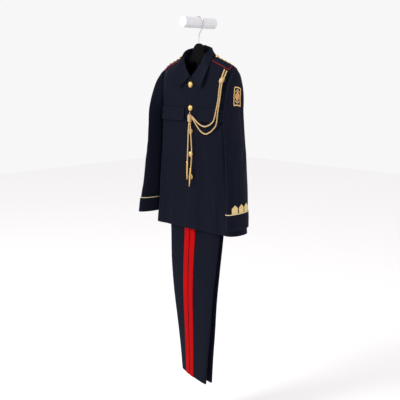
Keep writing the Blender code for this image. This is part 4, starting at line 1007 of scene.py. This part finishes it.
for side_name, side in SIDES:
    heights = with_edges(np.linspace(CUFF_TOP_Z, CUFF_BOTTOM_Z, 16), 0.0012)
    frames = sleeve_level(heights, side_name, side)
    outer = sleeve_ring(frames, SLEEVE_TURNS, 2 * GAP + CLOTH)
    ripple = uneven(SLEEVE_TURNS[None, :] * 0.04, heights[:, None], 0.07, 0.0006)
    calm = np.clip((CUFF_TOP_Z - heights) / 0.02, 0.0, 1.0)
    outer = outer + outward(outer) * (ripple * calm[:, None])[..., None]
    sewn(f"cuff_{side_name}_band", "navy_wool", f"cuff_{side_name}", outer, navy_wool, "folded",
         [f"sleeve_{side_name}_tube"], closed=True,
         inner=sleeve_ring(frames, SLEEVE_TURNS, 2 * GAP))

    level = sleeve_level(np.array(CUFF_TOP_Z + CUFF_CORD_RADIUS + 2 * GAP), side_name, side)
    line = sleeve_ring(level, np.arange(120) * 2 * math.pi / 120, 3 * GAP + CUFF_CORD_RADIUS)
    edge_cord = tube_along(f"cuff_{side_name}_cord", line, CUFF_CORD_RADIUS, 10, pale_braid,
                           closed=True)
    stand_for(edge_cord, "gold_braid", f"cuff_piping_{side_name}")

    turn_at = sleeve_arc(CUFF_TOP_Z, side_name, side)
    for number, place in enumerate(BRAID_PLACES, start=1):
        across = with_edges(np.linspace(-1.0, 1.0, 21), 0.04)
        turns = turn_at(place + across * BRAID_HALF_WIDTH)
        point = 1 - np.abs(across)
        tops = BRAID_HEIGHT * (BRAID_SHOULDER + (1 - BRAID_SHOULDER) * point)
        grooves = (np.exp(-(across / 0.09) ** 2)
                   + np.exp(-((np.abs(across) - 0.78) / 0.06) ** 2))
        plump = 2 * GAP + BRAID_THICKNESS - BRAID_GROOVE * grooves
        bottom = CUFF_TOP_Z + 2 * CUFF_CORD_RADIUS + 3 * GAP
        heights = bottom + with_edges(np.linspace(0.0, 1.0, 14), 0.02)[:, None] * tops
        frames = sleeve_level(heights, side_name, side)
        turns = np.broadcast_to(turns, heights.shape)
        outer = on_sleeve(turns, frames, plump)
        sewn(f"braid_bar_{side_name}_{number}", "gold_braid", f"cuff_bar_{side_name}_{number}",
             outer, gold_braid, "laid", [f"sleeve_{side_name}_tube"],
             inner=on_sleeve(turns, frames, 2 * GAP), thickness=BRAID_THICKNESS)

# The collar. A stand and fall in one folded strip of cloth: it rises from the neckline, rolls over
# at the fold and lies down over the shoulders to its two points, which stand a little off.
# From the centre back to the front: base, fold and lower edge, each x, y, z
COLLAR = (
    (0.0000, -0.0478, -0.0970, 0.0000, -0.0430, -0.0710, 0.0000, -0.0250, -0.1090),
    (0.0360, -0.0510, -0.0985, 0.0335, -0.0500, -0.0790, 0.0440, -0.0340, -0.1070),
    (0.0555, -0.0580, -0.1028, 0.0465, -0.0575, -0.0815, 0.0590, -0.0500, -0.1055),
    (0.0630, -0.0710, -0.1080, 0.0525, -0.0680, -0.0850, 0.0705, -0.0740, -0.1070),
    (0.0565, -0.0910, -0.1345, 0.0530, -0.0880, -0.0975, 0.0780, -0.1035, -0.1395),
    (0.0320, -0.1020, -0.1635, 0.0345, -0.1030, -0.1390, 0.0700, -0.1175, -0.1760),
    (0.0012, -0.1075, -0.1785, 0.0040, -0.1110, -0.1750, 0.0520, -0.1200, -0.2130),
)
FOLD_HALF = 0.0034
FOLD_DROP = 0.0022
FALL_HOLLOW = 0.0016

table = np.asarray(COLLAR)
keys = distances(table[:, 3:6])
places = np.delete(with_edges(np.linspace(0, keys[-1], 60), 0.001), 1)
stations = through(np.column_stack([keys, table]), places)
base, fold, edge = stations[:, 0:3], stations[:, 3:6], stations[:, 6:9]
# The stand's lower edge is let down onto the neck seam, behind and at the sides of the neck
base[:, 0] += np.interp(places, keys[[0, 2, 3, 4]], [0.0, 0.0012, 0.0016, 0.0])
base[:, 2] -= np.interp(places, keys[[0, 2, 3, 4]], [0.0017, 0.0021, 0.0027, 0.0])
away = unit((edge - fold) * (1.0, 1.0, 0.0))
neck_side = fold - away * FOLD_HALF - (0.0, 0.0, FOLD_DROP)
fall_side = fold + away * FOLD_HALF - (0.0, 0.0, FOLD_DROP)
up_shares = np.concatenate([[0.0, 0.04], np.linspace(0.0, 1.0, 12)[1:]])
strip = [base + (neck_side - base) * share for share in up_shares]
for turn in np.radians(np.linspace(180, 0, 9)[1:-1]):
    strip.append(fold + away * FOLD_HALF * math.cos(turn)
                 - np.array([0.0, 0.0, FOLD_DROP]) * (1 - math.sin(turn)))
down_shares = np.concatenate([np.linspace(0.0, 1.0, 20)[:-1], [0.98, 1.0]])
for share in down_shares:
    hollow = FALL_HOLLOW * math.sin(math.pi * share)
    strip.append(fall_side + (edge - fall_side) * share - away * hollow)
left_collar = np.array(strip)
right_collar = left_collar * (-1.0, 1.0, 1.0)
outer = np.concatenate([right_collar[:, :0:-1], left_collar], axis=1)
normals = unit(np.cross(np.gradient(outer, axis=0), np.gradient(outer, axis=1)))
top_row = len(up_shares) + 3
if normals[top_row, :, 2].mean() < 0:
    normals = -normals
rows_down = np.linspace(0.0, 1.0, len(outer))[:, None]
wave = uneven(arcs(outer, 1), arcs(outer, 0), 0.12, 0.0006)
outer = outer - normals * np.abs(wave * np.sin(math.pi * rows_down))[..., None]
sewn("collar_strip", "navy_wool", "collar", outer, navy_wool, "folded",
     ["front_left", "front_right", "back"], inner=outer - normals * CLOTH)

# The chest pocket flaps. Two flaps of the same cloth with rounded ends, turned in and stitched
# near the edge, sewn on above each chest pocket; their lower edges stand a little off the front.
FLAP_INNER_X, FLAP_OUTER_X = 0.031, 0.143
FLAP_TOP_Z, FLAP_BOTTOM_Z = -0.281, -0.324
FLAP_ROUND = 0.014
FLAP_LIFT = 0.0013
FLAP_STAND = 0.0030
GUESS_WIDTH = 0.16
STEP_WIDTH = 0.2
STITCH_INSET = 0.0045
STITCH_PITCH = 0.0034
STITCH_LENGTH = 0.0024
STITCH_RADIUS = 0.00033
STITCH_SIDES = 6

sewing_thread = braid("sewing_thread", (0.006, 0.007, 0.016), (0.018, 0.021, 0.040), 0.0004)
settle(shader_of(sewing_thread), {"Sheen Weight": 0.02, "Specular IOR Level": 0.1,
                                  "Metallic": 0.0})


def locate(x, z, side):
    """Surface coordinates (t, r) of the front at distances from its centre line and heights.

    They start from a guess, and each round takes off a part of what is still missing.
    """
    t, r = x / GUESS_WIDTH * FLAT_SHARE, np.ones_like(x)
    for _ in range(14):
        here = body_point(t, r, side, True)
        t = np.clip(t + (x - side * here[..., 0]) / STEP_WIDTH, -0.2, 1.0)
        span = np.where(r <= 1, ARMPIT_Z - HEM_Z, top_point(t, side, True)[..., 2] - ARMPIT_Z)
        r = np.clip(r + (z - here[..., 2]) / span, 0.0, 2.0)
    return t, r


def on_front(x, z, side, lift):
    """Points of the jacket front moved out by a lift, with the outward directions there."""
    x, z, lift = np.broadcast_arrays(*(np.asarray(value, float) for value in (x, z, lift)))
    t, r = locate(x, z, side)
    here = body_point(t, r, side, True)
    normal = body_normal(t, r, r - 0.01, r + 0.01, side, True)
    normal *= np.where(normal[..., 1:2] > 0, -1.0, 1.0)
    return here + normal * (lift + overlap_rise(here[..., 0], side))[..., None], normal


def stitches(name, line, lift_way):
    """A row of short raised stitches along a line of points: small spindles laid end to end."""
    along = distances(line)
    count = int(along[-1] / STITCH_PITCH)
    starts = (np.arange(count) + 0.15) * STITCH_PITCH
    radius = STITCH_RADIUS * np.array([0.25, 0.8, 1.0, 1.0, 0.8, 0.25])[:, None]
    share = np.linspace(0.0, 1.0, len(radius))
    places = starts[:, None] + share * STITCH_LENGTH
    up = at_distances(places, along, lift_way)
    centre = at_distances(places, along, line)
    centre += up * (np.sin(math.pi * share) * STITCH_RADIUS * 0.7)[None, :, None]
    across = unit(np.cross(centre[:, -1] - centre[:, 0], up[:, 2]))
    turn = np.arange(STITCH_SIDES) * 2 * math.pi / STITCH_SIDES
    rings = (centre[:, :, None] + across[:, None, None] * (np.cos(turn) * radius)[..., None]
             + up[:, :, None] * (np.sin(turn) * radius)[..., None])
    index = np.arange(rings[..., 0].size).reshape(rings.shape[:3])
    wrapped = np.concatenate([index, index[:, :, :1]], axis=2)
    faces = np.stack([wrapped[:, :-1, :-1], wrapped[:, :-1, 1:], wrapped[:, 1:, 1:],
                      wrapped[:, 1:, :-1]], axis=-1).reshape(-1, 4).tolist()
    faces += index[:, 0, ::-1].tolist() + index[:, -1].tolist()
    stand_for(smooth_mesh(name, rings.reshape(-1, 3), faces, sewing_thread), "navy_wool")


for side_name, side in SIDES:
    place = with_edges(np.linspace(0.0, 1.0, 88), 0.004)
    share = with_edges(np.linspace(0.0, 1.0, 34), 0.01)[:, None]
    x = FLAP_INNER_X + (FLAP_OUTER_X - FLAP_INNER_X) * place
    from_end = np.minimum(x - FLAP_INNER_X, FLAP_OUTER_X - x)
    corner = 1 - np.sqrt(1 - (1 - np.minimum(from_end / FLAP_ROUND, 1.0)) ** 2)
    bottom = FLAP_BOTTOM_Z + FLAP_ROUND * 0.6 * corner
    z = FLAP_TOP_Z + (bottom - FLAP_TOP_Z) * share
    stand = FLAP_LIFT + FLAP_STAND * share ** 2
    to_edge = np.minimum(from_end, z - bottom) - STITCH_INSET
    sunk = 0.0005 * np.exp(-(to_edge / 0.0011) ** 2) + 0.0003 * (to_edge > 0)
    wave = np.abs(uneven(x * side, z, 0.07, 0.0006))
    outer = on_front(x, z, side, stand + CLOTH - sunk - wave * 0.6)[0]
    sewn(f"flap_{side_name}", "navy_wool", f"pocket_flap_{side_name}", outer, navy_wool, "hung",
         [f"front_{side_name}"], inner=on_front(x, z, side, stand)[0])
    # The row of stitches goes down one end, along the lower edge and up the other end
    start, end = FLAP_INNER_X + STITCH_INSET, FLAP_OUTER_X - STITCH_INSET
    row_x = np.concatenate([np.full(20, start), np.linspace(start, end, 60), np.full(20, end)])
    row_bottom = np.interp(row_x, x, bottom) + STITCH_INSET
    down = np.linspace(0.06, 1.0, 20)
    row_share = np.concatenate([down, np.ones(60), down[::-1]])
    row_z = FLAP_TOP_Z + (row_bottom - FLAP_TOP_Z) * row_share
    real_share = (row_z - FLAP_TOP_Z) / (np.interp(row_x, x, bottom) - FLAP_TOP_Z)
    stand = FLAP_LIFT + FLAP_STAND * real_share ** 2
    stitches(f"flap_{side_name}_stitches", *on_front(row_x, row_z, side, stand + CLOTH - 0.0004))

# Stitching of the front edge and the hem, in dark sewing thread. One row runs down the left front
# beside its edge, and one holds the turned hem of each front.
EDGE_ROW_TOP_Z = -0.192
EDGE_ROW_INSET = 0.006
HEM_ROW_Z = HEM_Z + 0.014
HEM_ROW_END_X = 0.155

row_z = np.linspace(EDGE_ROW_TOP_Z, HEM_ROW_Z, 120)
stitches("front_edge_stitches", *on_front(EDGE_ROW_INSET - FRONT_OVERLAP, row_z, 1.0, 0.0001))
for side_name, side, start in (("left", 1.0, -0.004), ("right", -1.0, 0.022)):
    row_x = np.linspace(start, HEM_ROW_END_X, 80)
    stitches(f"hem_{side_name}_stitches", *on_front(row_x, HEM_ROW_Z, side, -0.0002))

# The front buttons. Five plain domed buttons of gilt metal with a beaded rim, sewn in a row down
# the left front's edge.
BUTTON_TOP_Z = -0.203
BUTTON_SPACING = 0.078
BUTTON_COUNT = 5
BUTTON_RADIUS = 0.0100
BUTTON_HEIGHT = 0.0075
BUTTON_BEADS = 28
BEAD_STEPS = 5

gold_metal = plain_shader("gold_metal", (0.80, 0.52, 0.18), 0.26, 1.0)
tarnish = speckle(gold_metal, 240.0, 4.0)
colour_between(gold_metal, tarnish, (0.52, 0.30, 0.085), (0.95, 0.68, 0.27))
gloss_between(gold_metal, speckle(gold_metal, 900.0), 0.18, 0.40)
relief(gold_metal, speckle(gold_metal, 2600.0), 0.12, 0.0001)


def beaded(radius, pitch):
    """A radius that swells and narrows along a tube, like a row of beads, one to a pitch."""
    return lambda s, angles: radius * (0.80 + 0.20 * np.abs(np.sin(math.pi * s / pitch)))


def domed_button(name, node, place, normal, radius, height):
    """A button: flat back, rounded rim, a groove and a dome, with a beaded ring in the groove."""
    dome = [(radius * 0.84 * math.cos(a), height * (0.34 + 0.66 * math.sin(a)))
            for a in np.radians(np.linspace(0.0, 84.0, 12))]
    profile = [(0.0, 0.0), (radius * 0.90, 0.0), (radius * 0.97, height * 0.05),
               (radius, height * 0.14), (radius, height * 0.20), (radius * 0.97, height * 0.28),
               (radius * 0.91, height * 0.31), *dome, (0.0, height)]
    stand_for(turned(name, profile, place, normal, gold_metal, 56), "gold_metal", node)
    across = unit(np.cross(normal, (1.0, 0.0, 0.0)))
    spokes = circle(BUTTON_BEADS * BEAD_STEPS, across, np.cross(normal, across))
    ring = place + normal * height * 0.31 + radius * 0.89 * spokes
    pitch = np.linalg.norm(ring[1] - ring[0]) * BEAD_STEPS
    rim = tube_along(f"{name}_rim", ring, beaded(radius * 0.085, pitch), 8, gold_metal,
                     closed=True)
    stand_for(rim, "gold_metal")


for number in range(1, BUTTON_COUNT + 1):
    spot, way = on_front(0.0, BUTTON_TOP_Z - BUTTON_SPACING * (number - 1), 1.0, 2 * GAP)
    domed_button(f"button_{number}", f"front_button_{number}", spot, way, BUTTON_RADIUS,
                 BUTTON_HEIGHT)

# The epaulettes. A stiff strap of navy cloth on each shoulder, its inner end under the collar held
# by a small gilt button, edged with a twisted red cord and set with three metal stars.
STRAP_INNER_X, STRAP_OUTER_X = 0.0775, 0.1490
STRAP_DROP = 0.0105
STRAP_LIFT = 0.0011
STRAP_THICKNESS = 0.0025
STRAP_CORD_RADIUS = 0.0015
STRAP_BUTTON_X = 0.0845
STRAP_BUTTON_RADIUS = 0.0070
STAR_X = (0.1035, 0.1205, 0.1375)
STAR_RADIUS = 0.0062
STAR_HEIGHT = 0.0022
STAR_NOTCH = 0.52
STRAP_PLACES = np.array([-1.0, -0.75, -0.45, 0.0, 0.45, 0.75, 1.0])

red_piping = braid("red_piping", (0.11, 0.0025, 0.008), (0.27, 0.006, 0.018), 0.0012)
settle(shader_of(red_piping), {"Metallic": 0.0, "Sheen Weight": 0.02,
                               "Specular IOR Level": 0.15})


def rope(radius, pitch):
    """A laid cord's radius: the round backs of three strands that turn once in a pitch."""
    return lambda s, angles: radius * (
        0.78 + 0.22 * np.abs(np.cos(3 * (angles - 2 * math.pi * s / pitch) / 2)))


def strap_point(x, place, side, lift):
    """Point of an epaulette: place runs from -1 at the front edge, over the seam, to 1 behind."""
    x, place = np.broadcast_arrays(x, place)
    t = NECK_SHARE + (x - NECK_X) / (SHOULDER_X - NECK_X) * (1 - NECK_SHARE)
    drop = np.maximum(STRAP_DROP * np.abs(place) ** 1.6, 0.0001)
    sides = []
    for front in (True, False):
        r = 2 - drop / (top_point(t, side, front)[..., 2] - ARMPIT_Z)
        normal = body_normal(t, r, r - 0.01, r, side, front)
        normal *= np.where(normal[..., 2:3] < 0, -1.0, 1.0)
        sides.append(body_point(t, r, side, front) + normal * lift)
    point = np.where((place < 0)[..., None], *sides)
    ridge = np.stack([side * x, np.full(x.shape, HANG_Y), top_point(t, side, True)[..., 2]
                      + lift * 1.25], axis=-1)
    return np.where((np.abs(place) < 0.01)[..., None], ridge, point)


def strap_layer(x, places, side, lift):
    """Grid of a strap's face, smooth across: rows along the shoulder, columns over the seam."""
    coarse = strap_point(x[:, None], STRAP_PLACES[None, :], side, lift)
    columns = coarse.transpose(1, 0, 2).reshape(len(STRAP_PLACES), -1)
    table = np.column_stack([STRAP_PLACES, columns])
    return through(table, places).reshape(len(places), len(x), 3).transpose(1, 0, 2)


for side_name, side in SIDES:
    x = with_edges(np.linspace(STRAP_INNER_X, STRAP_OUTER_X, 46), 0.0006)
    places = with_edges(np.linspace(-1.0, 1.0, 31), 0.03)
    outer = strap_layer(x, places, side, STRAP_LIFT + STRAP_THICKNESS)
    inner = strap_layer(x, places, side, STRAP_LIFT)
    sewn(f"strap_{side_name}", "navy_trim", f"epaulette_{side_name}", outer, navy_trim, "laid",
         [f"front_{side_name}", "back"], inner=inner, thickness=STRAP_THICKNESS)

    # The cord runs out along the front edge, round the outer end and back along the rear edge
    middle_layer = (outer + inner) / 2
    edge_out = STRAP_CORD_RADIUS + 2 * GAP
    front_line, back_line, end_line = middle_layer[:, 0], middle_layer[:, -1], middle_layer[-1]
    front_way = unit(front_line - middle_layer[:, 3]) * edge_out
    back_way = unit(back_line - middle_layer[:, -4]) * edge_out
    end_way = unit(end_line - middle_layer[-4]) * edge_out
    turn = np.radians([[22.5], [45.0], [67.5]])
    corner_front = front_line[-1] + front_way[-1] * np.cos(turn) + end_way[0] * np.sin(turn)
    corner_back = back_line[-1] + end_way[-1] * np.cos(turn) + back_way[-1] * np.sin(turn)
    edge_line = np.vstack([front_line + front_way, corner_front, end_line + end_way, corner_back,
                           (back_line + back_way)[::-1]])
    edging = tube_along(f"strap_{side_name}_edging", smooth_route(edge_line[::2], 0.0009),
                        rope(STRAP_CORD_RADIUS, 0.009), 18, red_piping)
    stand_for(edging, "red_piping", f"epaulette_piping_{side_name}")

    slope = unit(np.array([side * (SHOULDER_X - NECK_X), 0.0, SHOULDER_Z - NECK_Z]))
    upright = np.array([-slope[2] * side, 0.0, abs(slope[0])])
    lateral = np.cross(upright, slope)
    top = STRAP_LIFT + STRAP_THICKNESS
    seat = strap_point(STRAP_BUTTON_X, 0.0, side, top) + upright * 2 * GAP
    domed_button(f"strap_{side_name}_button", f"epaulette_button_{side_name}", seat, upright,
                 STRAP_BUTTON_RADIUS, STRAP_BUTTON_RADIUS * 0.8)
    for number, star_x in enumerate(STAR_X, start=1):
        seat = strap_point(star_x, 0.0, side, top) + upright * 2 * GAP
        reach = STAR_RADIUS * np.tile([1.0, STAR_NOTCH], 6)[:, None]
        spokes = circle(12, slope, lateral) * reach
        rings = np.array([seat + spokes, seat + spokes + upright * STAR_HEIGHT * 0.30,
                          seat + spokes * 0.93 + upright * STAR_HEIGHT * 0.40])
        star = capped_rings(f"star_{side_name}_{number}", seat, rings,
                            seat + upright * STAR_HEIGHT, gold_metal)
        star.data.set_sharp_from_angle(angle=math.radians(12))
        stand_for(star, "gold_metal", f"epaulette_star_{side_name}_{number}")

# The arm badge. An embroidered patch on the left upper arm: a navy ground inside a gold border,
# with a plain lozenge of orange and gold, a chevron above and below it and short bars beside it.
BADGE_TOP_Z = -0.210
BADGE_HEIGHT = 0.060
BADGE_FRONT, BADGE_BACK = 0.0100, -0.0265
BADGE_LIFT = 3 * GAP
BADGE_THICKNESS = 0.0015

# Across, up: the lozenge's half sizes, the chevrons' points and the short bars at its sides
LOZENGE_ACROSS, LOZENGE_UP = 0.0100, 0.0155
CHEVRON_ACROSS, CHEVRON_LOW, CHEVRON_HIGH = 0.0105, 0.0140, 0.0215
BAR_ACROSS, BAR_LOW, BAR_HIGH = 0.0118, 0.0030, 0.0100
BORDER_INSET = 0.0018

badge_gold = braid("badge_gold", (0.44, 0.24, 0.05), (0.88, 0.60, 0.22), 0.0010)
badge_orange = braid("badge_orange", (0.42, 0.10, 0.012), (0.78, 0.27, 0.04), 0.0010)
settle(shader_of(badge_orange), {"Metallic": 0.1})
badge_ground = wool("badge_ground", (0.0040, 0.0050, 0.0130), (0.0100, 0.0120, 0.0260), 0.0009)
badge_middle = (BADGE_FRONT + BADGE_BACK) / 2
badge_turn_at = sleeve_arc(BADGE_TOP_Z - BADGE_HEIGHT / 2, "left", 1.0)


def on_badge(across, up, lift):
    """Points over the badge, from its centre: across to the front, up, and out from the sleeve."""
    across, up = np.broadcast_arrays(across, up)
    frames = sleeve_level(BADGE_TOP_Z - BADGE_HEIGHT / 2 + up, "left", 1.0)
    return on_sleeve(badge_turn_at(badge_middle + across), frames, lift)


def satin(name, path, half_widths, material, rise=0.0009):
    """A padded satin stitch: a domed strip along a path of (across, up) points on the badge."""
    path = np.asarray(path, float)
    along = distances(path)
    even = np.linspace(0.0, along[-1], max(12, int(along[-1] / 0.0007)))
    line = at_distances(even, along, path)
    half = np.interp(even, along, half_widths)
    way = unit(np.gradient(line, axis=0))
    reach = np.linspace(-1.0, 1.0, 9)[:, None]
    across = line[:, 0] - way[:, 1] * half * reach
    up = line[:, 1] + way[:, 0] * half * reach
    base = BADGE_LIFT + BADGE_THICKNESS - 0.0002
    outer = on_badge(across, up, base + 0.0002 + rise * np.sqrt(1.0 - reach ** 2 * 0.98))
    strip = cloth_sheet(name, outer, material, inner=on_badge(across, up, base), thickness=rise)
    stand_for(strip, "badge_embroidery")


half_across, half_up = (BADGE_FRONT - BADGE_BACK) / 2, BADGE_HEIGHT / 2
across = with_edges(np.linspace(-half_across, half_across, 40), 0.0005)
up = with_edges(np.linspace(half_up, -half_up, 50), 0.0005)[:, None]
outer = on_badge(across, up, BADGE_LIFT + BADGE_THICKNESS)
sewn("badge_patch", "badge_embroidery", "arm_badge", outer, badge_ground, "laid",
     ["sleeve_left_tube"], inner=on_badge(across, up, BADGE_LIFT), thickness=BADGE_THICKNESS)
edge_across, edge_up = half_across - BORDER_INSET, half_up - BORDER_INSET
satin("badge_border", [(0.0, edge_up), (edge_across, edge_up), (edge_across, -edge_up),
                       (-edge_across, -edge_up), (-edge_across, edge_up), (0.0, edge_up)],
      [0.0018] * 6, badge_gold)
satin("badge_lozenge_fill", [(0.0, LOZENGE_UP - 0.002), (0.0, 0.0), (0.0, -LOZENGE_UP + 0.002)],
      [0.0003, LOZENGE_ACROSS - 0.002, 0.0003], badge_orange)
satin("badge_lozenge_edge", [(LOZENGE_ACROSS / 2, LOZENGE_UP / 2), (LOZENGE_ACROSS, 0.0),
                             (0.0, -LOZENGE_UP), (-LOZENGE_ACROSS, 0.0), (0.0, LOZENGE_UP),
                             (LOZENGE_ACROSS / 2, LOZENGE_UP / 2)],
      [0.0011] * 6, badge_gold, 0.0013)
for number, way in ((1, 1.0), (2, -1.0)):
    satin(f"badge_chevron_{number}", [(-CHEVRON_ACROSS, way * CHEVRON_LOW),
                                      (0.0, way * CHEVRON_HIGH),
                                      (CHEVRON_ACROSS, way * CHEVRON_LOW)],
          [0.0014] * 3, badge_gold)
    for name, bar_x in (("bar", -BAR_ACROSS), ("stripe", BAR_ACROSS)):
        satin(f"badge_{name}_{number}", [(bar_x, way * BAR_HIGH), (bar_x, way * BAR_LOW)],
              [0.0009] * 2, badge_orange)

# The aiguillette. Two laid gold cords hang from under the left epaulette, pass through a sliding
# ring, swing across the chest in two bights and end in a whipped knot, which a small loop holds at
# the second button. Two pendant cords fall from the knot and end in gilt metal tips.
CORD_RADIUS = 0.0024
FRONT_CORD = (
    (0.1390, -0.0942, -0.1535), (0.1392, -0.1007, -0.1650), (0.1385, -0.1056, -0.1768),
    (0.1362, -0.1090, -0.1878), (0.1344, -0.1105, -0.2000), (0.1312, -0.1110, -0.2186),
    (0.1270, -0.1103, -0.2480), (0.1244, -0.1136, -0.2708), (0.1214, -0.1160, -0.2892),
    (0.1180, -0.1165, -0.3040), (0.1120, -0.1163, -0.3180), (0.0912, -0.1147, -0.3333),
    (0.0674, -0.1138, -0.3396), (0.0466, -0.1153, -0.3334), (0.0302, -0.1186, -0.3200),
    (0.0190, -0.1196, -0.3105), (0.0135, -0.1193, -0.3075),
)
BACK_CORD = (
    (0.1472, -0.0922, -0.1575), (0.1450, -0.0995, -0.1742), (0.1418, -0.1060, -0.1878),
    (0.1400, -0.1078, -0.2000), (0.1372, -0.1089, -0.2185), (0.1333, -0.1094, -0.2480),
    (0.1318, -0.1130, -0.2706), (0.1290, -0.1157, -0.2985), (0.1272, -0.1162, -0.3150),
    (0.1235, -0.1152, -0.3290), (0.1070, -0.1120, -0.3464), (0.0880, -0.1114, -0.3590),
    (0.0720, -0.1114, -0.3643), (0.0529, -0.1120, -0.3588), (0.0354, -0.1142, -0.3410),
    (0.0243, -0.1180, -0.3240), (0.0190, -0.1193, -0.3165), (0.0135, -0.1193, -0.3140),
)
SLIDER_HEIGHTS = (-0.1805, -0.1835, -0.1878, -0.1921, -0.1951)
SLIDER_WALLS = (0.0012, 0.0022, 0.0026, 0.0022, 0.0012)
SLIDER_CLEARANCE = 0.0007
KNOT_X, KNOT_Y = 0.0037, -0.1191
KNOT_TOP, KNOT_BOTTOM = -0.3010, -0.3290
KNOT_RADIUS = 0.0075
KNOT_TURNS = 6.5
WRAP_RADIUS = 0.00205
LOOP = ((0.0037, -0.1191, -0.3005), (0.0028, -0.1180, -0.2970), (0.0012, -0.1150, -0.2935))
LOOP_RADIUS = 0.0014
PENDANTS = {
    "left": ((0.0063, -0.1191, -0.3294), (0.0085, -0.1195, -0.3550), (0.0107, -0.1194, -0.3809),
             (0.0128, -0.1190, -0.4317), (0.0118, -0.1196, -0.4620), (0.0103, -0.1206, -0.4834)),
    "right": ((0.0012, -0.1191, -0.3294), (-0.0004, -0.1210, -0.3560), (-0.0025, -0.1212, -0.4054),
              (-0.0048, -0.1210, -0.4400), (-0.0053, -0.1212, -0.4605)),
}
PENDANT_RADIUS = 0.0022
# A tip's radius and distance from its cord: rim, neck, bead, long taper and end knob
TIP_PROFILE = (
    (0.0, 0.0), (0.0030, 0.0), (0.0038, 0.0006), (0.0042, 0.0018), (0.0042, 0.0038),
    (0.0038, 0.0048), (0.0031, 0.0056), (0.0029, 0.0066), (0.0033, 0.0076), (0.0037, 0.0090),
    (0.0039, 0.0120), (0.0039, 0.0150), (0.0036, 0.0158), (0.0038, 0.0166), (0.0037, 0.0260),
    (0.0036, 0.0384), (0.0029, 0.0480), (0.0022, 0.0560), (0.0018, 0.0590), (0.0020, 0.0604),
    (0.0018, 0.0624), (0.0010, 0.0637), (0.0, 0.064),
)

gold_cord = braid("gold_cord", (0.34, 0.19, 0.055), (0.84, 0.60, 0.29), 0.0009)


def cord_at(points, z):
    """Place (x, y) of a cord where it passes a height, on its way down from the shoulder."""
    upper = points[:np.argmin(points[:, 2]) + 1][::-1]
    return np.array([np.interp(z, upper[:, 2], upper[:, axis]) for axis in (0, 1)])


front_cord, back_cord = smooth_route(FRONT_CORD, 0.0014), smooth_route(BACK_CORD, 0.0014)
heights = np.linspace(SLIDER_HEIGHTS[0], SLIDER_HEIGHTS[-1], 40)
walls = through(np.column_stack([SLIDER_HEIGHTS, SLIDER_WALLS]), heights)[:, 0]
around = np.arange(48) * 2 * math.pi / 48
slider_layers = []
for extra in (walls * (0.90 + 0.10 * np.abs(np.sin(heights * math.pi / 0.0016))), np.zeros(40)):
    rings = []
    for z, wall_here in zip(heights, extra):
        ends = cord_at(front_cord, z), cord_at(back_cord, z)
        apart = ends[1] - ends[0]
        reach = np.linalg.norm(apart)
        along_way = apart / reach
        across_way = np.array([-along_way[1], along_way[0]])
        radius = CORD_RADIUS + SLIDER_CLEARANCE + wall_here
        flat = (ends[0] + ends[1]) / 2 + np.outer(np.sin(around) * radius, across_way)
        flat += np.outer(np.cos(around) * (radius + reach / 2), along_way)
        rings.append(np.column_stack([flat, np.full(len(around), z)]))
    slider_layers.append(np.array(rings))
slider = cloth_sheet("slider_ring", slider_layers[0], gold_cord, closed=True,
                     inner=slider_layers[1], thickness=0.001)
stand_for(slider, "gold_cord", "cord_slider")

knot_core = turned("knot_core", [(0.0, KNOT_BOTTOM), (KNOT_RADIUS * 0.55, KNOT_BOTTOM),
                                 (KNOT_RADIUS * 0.62, KNOT_BOTTOM + 0.003),
                                 (KNOT_RADIUS * 0.62, KNOT_TOP - 0.003),
                                 (KNOT_RADIUS * 0.55, KNOT_TOP), (0.0, KNOT_TOP)],
                   np.array([KNOT_X, KNOT_Y, 0.0]), (0.0, 0.0, 1.0), gold_cord, 32)
stand_for(knot_core, "gold_cord", "cord_knot")
share = np.linspace(0.0, 1.0, 420)
turn = share * KNOT_TURNS * 2 * math.pi
ease = np.minimum(np.minimum(share, 1 - share) / 0.06, 1.0)
reach = (KNOT_RADIUS - WRAP_RADIUS) * (0.75 + 0.25 * ease)
wrap = np.column_stack([
    KNOT_X + np.cos(turn) * reach, KNOT_Y + np.sin(turn) * reach,
    KNOT_TOP - WRAP_RADIUS - share * (KNOT_TOP - KNOT_BOTTOM - 2 * WRAP_RADIUS)])
knot_wrap = tube_along("knot_wrap", wrap, rope(WRAP_RADIUS, 0.010), 18, gold_cord)
stand_for(knot_wrap, "gold_cord")
loop = tube_along("button_loop", smooth_route(LOOP, 0.0006), rope(LOOP_RADIUS, 0.007), 18,
                  gold_cord)
stand_for(loop, "gold_cord", "cord_loop")


def hung_cord(name, node, line, radius, pitch):
    """A laid cord along its line, standing for its solid."""
    cord = stand_for(tube_along(name, line, rope(radius, pitch), 24, gold_cord), "gold_cord", node)


hung_cord("shoulder_cord_front", "cord_front", front_cord, CORD_RADIUS, 0.0150)
hung_cord("shoulder_cord_back", "cord_back", back_cord, CORD_RADIUS, 0.0150)
for side_name, route in PENDANTS.items():
    line = smooth_route(route, 0.0014)
    way = unit(line[-1] - line[-2])
    tip = turned(f"tip_{side_name}", TIP_PROFILE, line[-1] + way * GAP, way, gold_metal, 40)
    stand_for(tip, "gold_metal", f"pendant_tip_{side_name}")
    hung_cord(f"pendant_cord_{side_name}", f"pendant_{side_name}", line, PENDANT_RADIUS, 0.0135)
